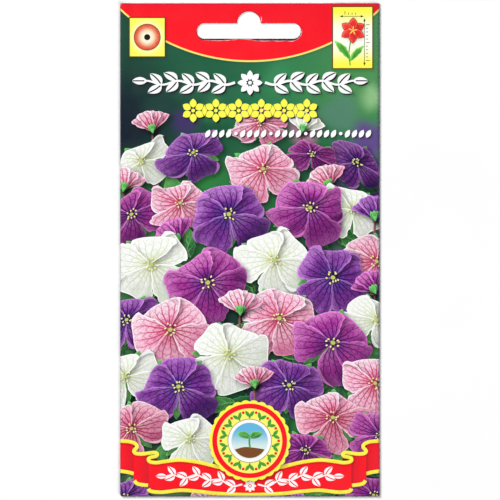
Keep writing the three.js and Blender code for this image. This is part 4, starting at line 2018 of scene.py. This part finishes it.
@dataclass
class Net:
    """Triangles over a flat region, with the region's outer and inner edges."""

    points: Points
    faces: np.ndarray

    @classmethod
    def over(cls, loops: Sequence[Points], lines: Sequence[Points], spots: Points) -> "Net":
        """Spreads triangles over what lies inside the first loop and outside the others.

        Args:
            loops: The region's outline, then its holes.
            lines: Further lines that triangles must follow.
            spots: Further points for corners.

        Returns:
            The net.
        """
        places, edges = [], []
        for line, closed in [(loop, True) for loop in loops] + [(line, False) for line in lines]:
            start = len(places)
            places += line.tolist()
            edges += [(start + i, start + i + 1) for i in range(len(line) - 1)]
            if closed:
                edges.append((start + len(line) - 1, start))
        places += spots.tolist()
        made = geometry.delaunay_2d_cdt([Vector(p) for p in places], edges, [], 0, 0.01, False)
        points = np.array([tuple(p) for p in made[0]])
        faces = np.array(made[2])
        middles = points[faces].mean(axis=1)
        kept = inside(middles, loops[0])
        for hole in loops[1:]:
            kept &= ~inside(middles, hole)
        faces = faces[kept]
        first, second = (points[faces[:, i]] - points[faces[:, 0]] for i in (1, 2))
        area = first[:, 0] * second[:, 1] - first[:, 1] * second[:, 0]
        faces[area < 0] = faces[area < 0][:, ::-1]
        used, packed = np.unique(faces, return_inverse=True)
        return cls(points[used], packed.reshape(-1, 3))

    def rim(self) -> list[list[int]]:
        """Finds the edges that only one triangle has.

        Returns:
            The two corner numbers of each edge, in the order of its triangle.
        """
        edges = np.vstack([self.faces[:, [0, 1]], self.faces[:, [1, 2]], self.faces[:, [2, 0]]])
        size = len(self.points)
        forward, backward = edges[:, 0] * size + edges[:, 1], edges[:, 1] * size + edges[:, 0]
        return edges[~np.isin(forward, backward)].tolist()

    def rim_loops(self) -> list[Points]:
        """Follows the region's edges.

        Returns:
            Each edge as a closed loop of points, the longest first.
        """
        following = dict(self.rim())
        loops = []
        while following:
            start, at = following.popitem()
            loop = [start]
            while at != start:
                loop.append(at)
                at = following.pop(at)
            loops.append(self.points[loop])
        return sorted(loops, key=lambda loop: -np.ptp(loop, axis=0).sum())

    def body_with(self, lower: "Net", twins: dict[int, int]) -> np.ndarray:
        """Closes a body between this net and a net below it.

        Args:
            lower: The net below.
            twins: For each corner of this net's rim, the number of the lower net's corner under it.

        Returns:
            The triangles: this net's, the lower one's turned over, and the walls along the rim.
        """
        offset = len(self.points)
        walls = []
        for a, b in self.rim():
            c, d = twins[a] + offset, twins[b] + offset
            walls += [(b, a, c), (b, c, d)]
        return np.vstack([self.faces, lower.faces[:, ::-1] + offset, walls])


def spread_spots(low: Place, high: Place, step: float, taken: Points, clear: float) -> Points:
    """Spreads points in even rows over a rectangle, apart from those near points that are there already.

    Args:
        low: The rectangle's lowest corner.
        high: Its highest corner.
        step: Distance between neighbours.
        taken: The points that are there.
        clear: Distance to keep from them.

    Returns:
        The points.
    """
    rows = np.arange(low[1] + step / 2, high[1], step * 0.866)
    made = []
    for i, y in enumerate(rows):
        x = np.arange(low[0] + step * (0.25 + 0.5 * (i % 2)), high[0], step)
        made.append(np.column_stack([x, np.full_like(x, y)]))
    spots = np.vstack(made)
    tree = kdtree.KDTree(len(taken))
    for i, (x, y) in enumerate(taken):
        tree.insert((x, y, 0.0), i)
    tree.balance()
    free = [tree.find((x, y, 0.0))[2] > clear for x, y in spots]
    return spots[np.array(free)]


@dataclass
class Artwork:
    """All printed shapes of the sheet, those of the back first, with the shade that is painted over them along
    the folds and the top edge.
    """

    form: PacketForm
    line_step: float = 0.9
    shadow_way: Place = (0.5, -0.6)
    shadow_reach: float = 2.2
    # Tint of the shade that is painted along the folds and the top edge
    dirt: Colour = field(default_factory=lambda: tone(60, 50, 82))

    def __post_init__(self) -> None:
        """Draws the shapes and measures how far each reaches."""
        back = BackPrint(self.form).inks()
        self.back_count = len(back)
        self.inks = back + FrontPrint(self.form).inks()
        self.lows = np.array([ink.outline.min(0) for ink in self.inks])
        self.highs = np.array([ink.outline.max(0) for ink in self.inks])

    def visible_lines(self) -> list[Points]:
        """Follows the outlines of the shapes.

        Returns:
            The stretches that no higher shape hides.
        """
        made = []
        for k, ink in enumerate(self.inks):
            line = resampled(ink.outline, self.line_step)
            hidden = np.zeros(len(line), bool)
            meeting = np.all((self.lows <= self.highs[k]) & (self.highs >= self.lows[k]), axis=1)
            for other in np.flatnonzero(meeting & (np.arange(len(self.inks)) > k)):
                hidden |= inside(line, self.inks[other].outline)
            shown = ~hidden | ~np.roll(hidden, -1) | ~np.roll(hidden, 1)
            ring = np.vstack([line, line[:1]])
            seen = np.append(shown, shown[0])
            starts = np.flatnonzero(seen & ~np.append(False, seen[:-1]))
            ends = np.flatnonzero(seen & ~np.append(seen[1:], False))
            made += [ring[a:b + 1] for a, b in zip(starts, ends) if b > a]
        return made

    def light(self, points: Points, k: int) -> np.ndarray:
        """Lays the soft shadows of a panel's higher shapes over one of its shapes.

        Args:
            points: Places on the shape.
            k: The shape's number.

        Returns:
            The light that is left at each place.
        """
        light = np.ones(len(points))
        low, high = points.min(0), points.max(0)
        last = self.back_count if k < self.back_count else len(self.inks)
        for other in range(k + 1, last):
            caster = self.inks[other]
            reach = caster.blur * self.shadow_reach
            apart = np.any(self.lows[other] - reach > high) or np.any(self.highs[other] + reach < low)
            if caster.shadow == 0 or apart:
                continue
            moved = caster.outline + np.array(self.shadow_way) * caster.blur
            near = np.all((points > moved.min(0) - reach) & (points < moved.max(0) + reach), axis=1)
            if near.any():
                depth = depth_inside(points[near], moved)
                light[near] *= 1.0 - caster.shadow * rise(-caster.blur, caster.blur * 0.6, depth)
        return light

    def coat(self, net: Net) -> Coat:
        """Inks the printed face.

        Args:
            net: The face's triangles.

        Returns:
            The ink at each corner of each triangle.
        """
        middles = net.points[net.faces].mean(axis=1)
        top = np.full(len(net.faces), -1)
        for k in range(len(self.inks) - 1, -1, -1):
            free = np.flatnonzero(top < 0)
            top[free[inside(middles[free], self.inks[k].outline)]] = k
        corners = Coat.plain(WHITE, 3 * len(net.faces))
        for k in np.unique(top[top >= 0]):
            faces = np.flatnonzero(top == k)
            used, where = np.unique(net.faces[faces], return_inverse=True)
            points = net.points[used]
            coat = self.inks[k].paint(points)
            # Painted shade: the ink is darkened towards a dark tint along the folds and the top edge
            light, dull = self.light(points, k)[:, None], self.dulling(points)
            coat.ink = blend(np.clip(coat.ink * light, 0.0, 1.0), self.dirt, dull)
            coat.vein_ink = blend(coat.vein_ink * light, self.dirt, dull)
            loops = (faces[:, None] * 3 + np.arange(3)).ravel()
            for name, values in vars(coat).items():
                getattr(corners, name)[loops] = values[where.ravel()]
        return corners

    def dulling(self, points: Points) -> np.ndarray:
        """Reads the shade that is painted into the print along the folds and the cut top edge.

        Args:
            points: Places on the flat sheet.

        Returns:
            The share of painted shade in the print at each place.
        """
        form = self.form
        across, along = points[:, 0] - form.fold_at, form.bottom_fold - points[:, 1]
        beyond = -across - 2.0 * form.fold_at
        right = rise(-0.3, 0.2, across) * (1.0 - rise(0.9, 1.5, across))
        low = rise(-0.1, 0.25, along) * (1.0 - rise(0.8, 1.3, along))
        left = rise(0.0, 0.35, beyond) * (1.0 - rise(0.8, 1.3, beyond))
        head = 1.0 - rise(0.0, 0.45, form.top - points[:, 1])
        return np.maximum.reduce([0.66 * right, 0.55 * low, 0.4 * left, 0.34 * head])


@dataclass(frozen=True)
class PrintedSheet:
    """The folded sheet with its print, as one closed body."""

    form: PacketForm
    groups: Groups
    front_step: float = 0.8
    front_clear: float = 0.42
    back_step: float = 2.2
    back_clear: float = 0.8
    inner_step: float = 1.9
    inner_clear: float = 0.6
    past_fold: float = 1.6
    header_insets: tuple[float, ...] = (1.3, 1.9, 2.6, 3.3, 4.0)
    header_step: float = 1.4
    wear_reach: float = 1.3

    def fold_lines(self) -> list[Points]:
        """Rules lines along and just past the folds, so that each fold is evenly round and worn.

        Returns:
            The lines, which the net of the printed face follows.
        """
        form = self.form
        made = []
        for share in (*np.linspace(0.0, 1.0, form.fold_steps + 1), self.past_fold):
            past = form.fold_length * share
            low = form.bottom_fold - past
            sides = (-form.fold_at - past, form.fold_at + past)
            ends = [((x, form.bottom_fold), (x, form.top)) for x in sides]
            for line in (*ends, ((form.fold_at, low), (-form.fold_at, low))):
                made.append(resampled(np.array(line), self.front_step, False))
        return made

    def coarse_lines(self) -> list[Points]:
        """Rules lines along the folds, and beside them where the header is pressed flat.

        Returns:
            The lines, which the net of the unprinted face follows.
        """
        form = self.form
        made = [line[[0, *range(2, len(line) - 1, 2), -1]] for line in self.fold_lines()]
        for inset in self.header_insets:
            for x in (inset - form.right, form.right - inset):
                line = np.array([[x, form.header_start - 10.0], [x, form.top]])
                made.append(resampled(line, self.header_step, False))
        return made

    def printed_net(self, shapes: list[Points]) -> Net:
        """Spreads triangles over the printed face.

        Args:
            shapes: The visible edges of the print, which they follow.

        Returns:
            The net.
        """
        form = self.form
        slot = form.slot_outline()
        back_slot = slot * (-1, 1) + (form.back_place(0.0), 0.0)
        loops = [resampled(form.sheet_outline(), self.front_step), slot, back_slot]
        lines = shapes + self.fold_lines()
        taken = np.vstack(loops + lines)
        bottom, top = form.bottom_fold, form.top
        low = bottom - form.fold_length - form.bottom_flap
        past = form.fold_at + form.fold_length
        front = (-form.fold_at, bottom), (form.fold_at, top)
        back = (form.back_place(form.right), bottom), (-past, top)
        side = (past, bottom), (past + form.side_flap, top)
        flap = (-form.right, low), (form.right, low + form.bottom_flap)
        spots = [spread_spots(*front, self.front_step, taken, self.front_clear)]
        for region in (back, side, flap):
            spots.append(spread_spots(*region, self.back_step, taken, self.back_clear))
        return Net.over(loops, lines, np.vstack(spots))

    def plain_net(self, printed: Net) -> Net:
        """Spreads wider triangles over the unprinted face, within the same rims.

        Args:
            printed: The printed face's net.

        Returns:
            The net.
        """
        loops, lines = printed.rim_loops(), self.coarse_lines()
        low, high = printed.points.min(0), printed.points.max(0)
        spots = spread_spots(low, high, self.inner_step, np.vstack(loops + lines), self.inner_clear)
        return Net.over(loops, lines, spots)

    def wear(self, points: Points) -> np.ndarray:
        """Reads how near places are to the folds, corners and cut edges.

        Args:
            points: Places on the flat sheet.

        Returns:
            The nearness at each place, from 0 to 1.
        """
        form = self.form
        half_fold = form.fold_length / 2
        side = 1.0 - rise(0.0, self.wear_reach, np.abs(np.abs(points[:, 0]) - form.fold_at - half_fold))
        low = 1.0 - rise(0.0, self.wear_reach, np.abs(points[:, 1] - form.bottom_fold + half_fold))
        head = 1.0 - rise(0.0, 0.6, form.top - points[:, 1])
        inset = np.hypot(form.right - np.abs(points[:, 0]), form.top - np.abs(points[:, 1]))
        corner = 1.0 - rise(0.3, 1.8, inset)
        return np.clip(np.maximum.reduce([0.42 * side, 0.42 * low, 0.2 * head]) + 0.2 * corner, 0.0, 1.0)

    def build(self) -> bpy.types.Object:
        """Folds both faces into the packet and joins them along their rims.

        Returns:
            The sheet.
        """
        form = self.form
        art = Artwork(form)
        printed = self.printed_net(art.visible_lines())
        plain = self.plain_net(printed)
        LOG.info("sheet: %d shapes, %d printed and %d plain triangles", len(art.inks), len(printed.faces),
                 len(plain.faces))
        outer = form.middle(printed.points) + form.facing(printed.points) * form.paper / 2
        inner = form.middle(plain.points) - form.facing(plain.points) * form.paper / 2
        under = {tuple(np.round(p, 4)): i for i, p in enumerate(plain.points)}
        twins = {a: under[tuple(np.round(printed.points[a], 4))] for a, _ in printed.rim()}
        faces = printed.body_with(plain, twins)
        slots = (np.arange(len(faces)) >= len(printed.faces)).astype(int)
        materials = [PrintedCoat(self.groups).material(), BarePaper(self.groups).material()]
        piece = new_piece("printed_sheet", np.vstack([outer, inner]) * MM, faces, materials, slots)
        self.attach(piece, art, printed)
        self.smooth(piece, printed, plain, faces)
        return piece

    def attach(self, piece: bpy.types.Object, art: Artwork, printed: Net) -> None:
        """Writes the ink and the wear onto the corners of the mesh.

        Args:
            piece: The sheet.
            art: Its print.
            printed: The printed face's net, whose triangles are the sheet's first ones.
        """
        mesh = piece.data
        wear = self.wear(printed.points[printed.faces.ravel()])
        for name, values in {**vars(art.coat(printed)), "wear": wear}.items():
            kind, key = ("FLOAT_VECTOR", "vector") if values.ndim == 2 else ("FLOAT", "value")
            whole = np.zeros((len(mesh.loops), *values.shape[1:]), np.float32)
            whole[:len(values)] = values
            mesh.attributes.new(name, kind, "CORNER").data.foreach_set(key, whole.ravel())

    def smooth(self, piece: bpy.types.Object, printed: Net, plain: Net, faces: np.ndarray) -> None:
        """Gives the faces the folded sheet's own smooth normals, and the cut edges flat ones.

        Args:
            piece: The sheet.
            printed: The printed face's net.
            plain: The unprinted face's net.
            faces: All triangles of the sheet.
        """
        mesh = piece.data
        mesh.polygons.foreach_set("use_smooth", np.ones(len(faces), bool))
        out = np.vstack([self.form.facing(printed.points), -self.form.facing(plain.points)])
        normals = out[faces.ravel()]
        places = np.empty(3 * len(mesh.vertices))
        mesh.vertices.foreach_get("co", places)
        walls = places.reshape(-1, 3)[faces[len(printed.faces) + len(plain.faces):]]
        flat = np.cross(walls[:, 1] - walls[:, 0], walls[:, 2] - walls[:, 0])
        flat /= np.linalg.norm(flat, axis=1, keepdims=True) + 1e-15
        normals[-3 * len(walls):] = np.repeat(flat, 3, axis=0)
        mesh.normals_split_custom_set(normals.tolist())


@dataclass(frozen=True)
class SeedLot:
    """The loose nutlets in the packet, as one piece that stands for all the plain ones."""

    groups: Groups
    levels: int = 2

    def build(self) -> bpy.types.Object:
        """Rounds each plain nutlet and joins them.

        Returns:
            The nutlets.
        """
        names = sorted(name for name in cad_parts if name.startswith("seed_"))
        vertices, faces = [], []
        for name in names:
            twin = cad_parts[name].copy()
            twin.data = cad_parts[name].data.copy()
            bpy.context.scene.collection.objects.link(twin)
            twin.modifiers.new("weld", "WELD")
            rounding = twin.modifiers.new("rounding", "SUBSURF")
            rounding.levels = rounding.render_levels = self.levels
            shape = twin.evaluated_get(bpy.context.evaluated_depsgraph_get()).to_mesh()
            start = len(vertices)
            vertices += [tuple(v.co) for v in shape.vertices]
            faces += [[start + i for i in polygon.vertices] for polygon in shape.polygons]
            bpy.data.objects.remove(twin)
        piece = new_piece("nutlets", vertices, faces, [SeedCoat(self.groups).material()])
        piece.data.polygons.foreach_set("use_smooth", np.ones(len(faces), bool))
        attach(piece, "root")
        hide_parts(*names)
        return piece


@dataclass(frozen=True)
class GlueFilm:
    """One film of dried glue with a wavering edge, in the place of its plain solid."""

    node: str
    form: PacketForm
    waver: float = 0.35
    step: float = 0.9
    inner_step: float = 3.0
    inner_clear: float = 1.0
    slot_growth: float = 1.02

    def outline(self) -> tuple[Points, float, float]:
        """Measures the solid and draws the film's edge within it.

        Returns:
            The edge as seen from above, and the heights of the lower and upper faces, in millimetres.
        """
        low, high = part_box(self.node)
        left, bottom, floor = (value / MM for value in low)
        right, top, roof = (value / MM for value in high)
        edge = resampled(box_outline(left, right, bottom, top), self.step)
        middle = np.array([(left + right) / 2, (bottom + top) / 2])
        rng = np.random.default_rng(len(self.node))
        drawn = np.clip(rng.normal(0.5, 0.3, len(edge)), 0.0, 1.0) * self.waver
        drawn = (drawn + np.roll(drawn, 1) + np.roll(drawn, -1)) / 3
        return edge - np.sign(edge - middle) * drawn[:, None], floor, roof

    def build(self, material: bpy.types.Material) -> bpy.types.Object:
        """Builds the film between two layers of paper, open round the hang slot.

        Args:
            material: The film's finish.

        Returns:
            The film.
        """
        edge, floor, roof = self.outline()
        slot = self.form.slot_outline()
        loops = [edge]
        if np.all(inside(slot, edge)):
            middle = slot.mean(0)
            loops.append(middle + (slot - middle) * self.slot_growth)
        spots = spread_spots(edge.min(0), edge.max(0), self.inner_step, np.vstack(loops), self.inner_clear)
        net = Net.over(loops, [], spots)
        count = len(net.points)
        layers = [np.column_stack([net.points, np.full(count, z)]) for z in (roof, floor)]
        faces = net.body_with(net, {i: i for i in range(count)})
        piece = new_piece(self.node + "_film", np.vstack(layers) * MM, faces, [material])
        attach(piece, "root")
        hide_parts(self.node)
        return piece


# Studio


@dataclass(frozen=True)
class Lamp:
    """A square soft light that points at the packet, in metres and watts."""

    name: str
    place: tuple[float, float, float]
    size: float
    power: float

    def hang(self) -> None:
        """Puts the light into the scene."""
        lamp = bpy.data.lights.new(self.name, "AREA")
        lamp.size = self.size
        lamp.energy = self.power
        holder = bpy.data.objects.new(self.name, lamp)
        holder.location = self.place
        holder.rotation_euler = (-Vector(self.place)).to_track_quat("-Z", "Y").to_euler()
        bpy.context.scene.collection.objects.link(holder)


@dataclass(frozen=True)
class Studio:
    """The pale floor, the soft lights and the camera that looks straight down, in metres."""

    groups: Groups
    lens: float = 200.0
    sensor: float = 36.0
    picture_width: float = 0.15397
    low_by: float = 0.00003
    front_plane: float = 0.0009
    floor_half: float = 2.5
    floor_level: float = -0.00002
    key: Lamp = Lamp("key", (-1.5, 1.7, 2.2), 1.3, 89.0)
    fill: Lamp = Lamp("fill", (1.8, -1.7, 2.2), 1.9, 64.0)
    sky_light: float = 0.08
    sky_seen: float = 0.82

    def floor(self) -> None:
        """Lays the floor, a little below the packet."""
        corners = box_outline(-self.floor_half, self.floor_half, -self.floor_half, self.floor_half)
        places = np.column_stack([corners, np.full(4, self.floor_level)])
        piece = new_piece("studio_floor", places, [(0, 1, 2, 3)], [StudioFloor(self.groups).material()])

    def sky(self) -> None:
        """Makes a dim even world that shows pale behind the floor."""
        world = bpy.data.worlds.new("studio")
        world.use_nodes = True
        sketch = NodeSketch(world.node_tree)
        seen = sketch.node("LightPath").outputs["Is Camera Ray"]
        strength = sketch.math("MULTIPLY_ADD", seen, self.sky_seen, self.sky_light)
        background = sketch.node("Background", {"Color": (1.0, 1.0, 1.0, 1.0), "Strength": strength})
        sketch.node("OutputWorld", {"Surface": background.outputs[0]})
        bpy.context.scene.world = world

    def camera(self) -> None:
        """Hangs the camera over the packet, square to its front panel."""
        camera = bpy.data.cameras.new("camera")
        camera.lens = self.lens
        camera.sensor_width = self.sensor
        holder = bpy.data.objects.new("camera", camera)
        holder.location = (0.0, -self.low_by, self.front_plane + self.picture_width * self.lens / self.sensor)
        bpy.context.scene.collection.objects.link(holder)
        bpy.context.scene.camera = holder

    def build(self) -> None:
        """Sets up floor, lights, world and camera."""
        self.floor()
        self.key.hang()
        self.fill.hang()
        self.sky()
        bpy.context.scene.view_settings.view_transform = "Standard"
        self.camera()


def main() -> None:
    """Builds the packet's pieces in order, then the studio around it."""
    logging.basicConfig(level=logging.INFO, format="%(name)s: %(message)s")
    low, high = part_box("packet_paper")
    form = PacketForm(width=(high.x - low.x) / MM, height=(high.y - low.y) / MM)
    groups = Groups()
    sheet = PrintedSheet(form, groups).build()
    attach(sheet, "root")
    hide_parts("packet_paper")
    LOG.info("folded sheet: %d faces", len(sheet.data.polygons))
    glue = DriedGlue(groups).material()
    for node in ("side_seam_glue", "bottom_flap_glue", "header_glue", "header_side_glue"):
        film = GlueFilm(node, form).build(glue)
        LOG.info("%s: %d faces", film.name, len(film.data.polygons))
    seeds = SeedLot(groups).build()
    LOG.info("nutlets: %d faces", len(seeds.data.polygons))
    Studio(groups).build()
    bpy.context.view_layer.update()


if __name__ == "__main__":
    main()
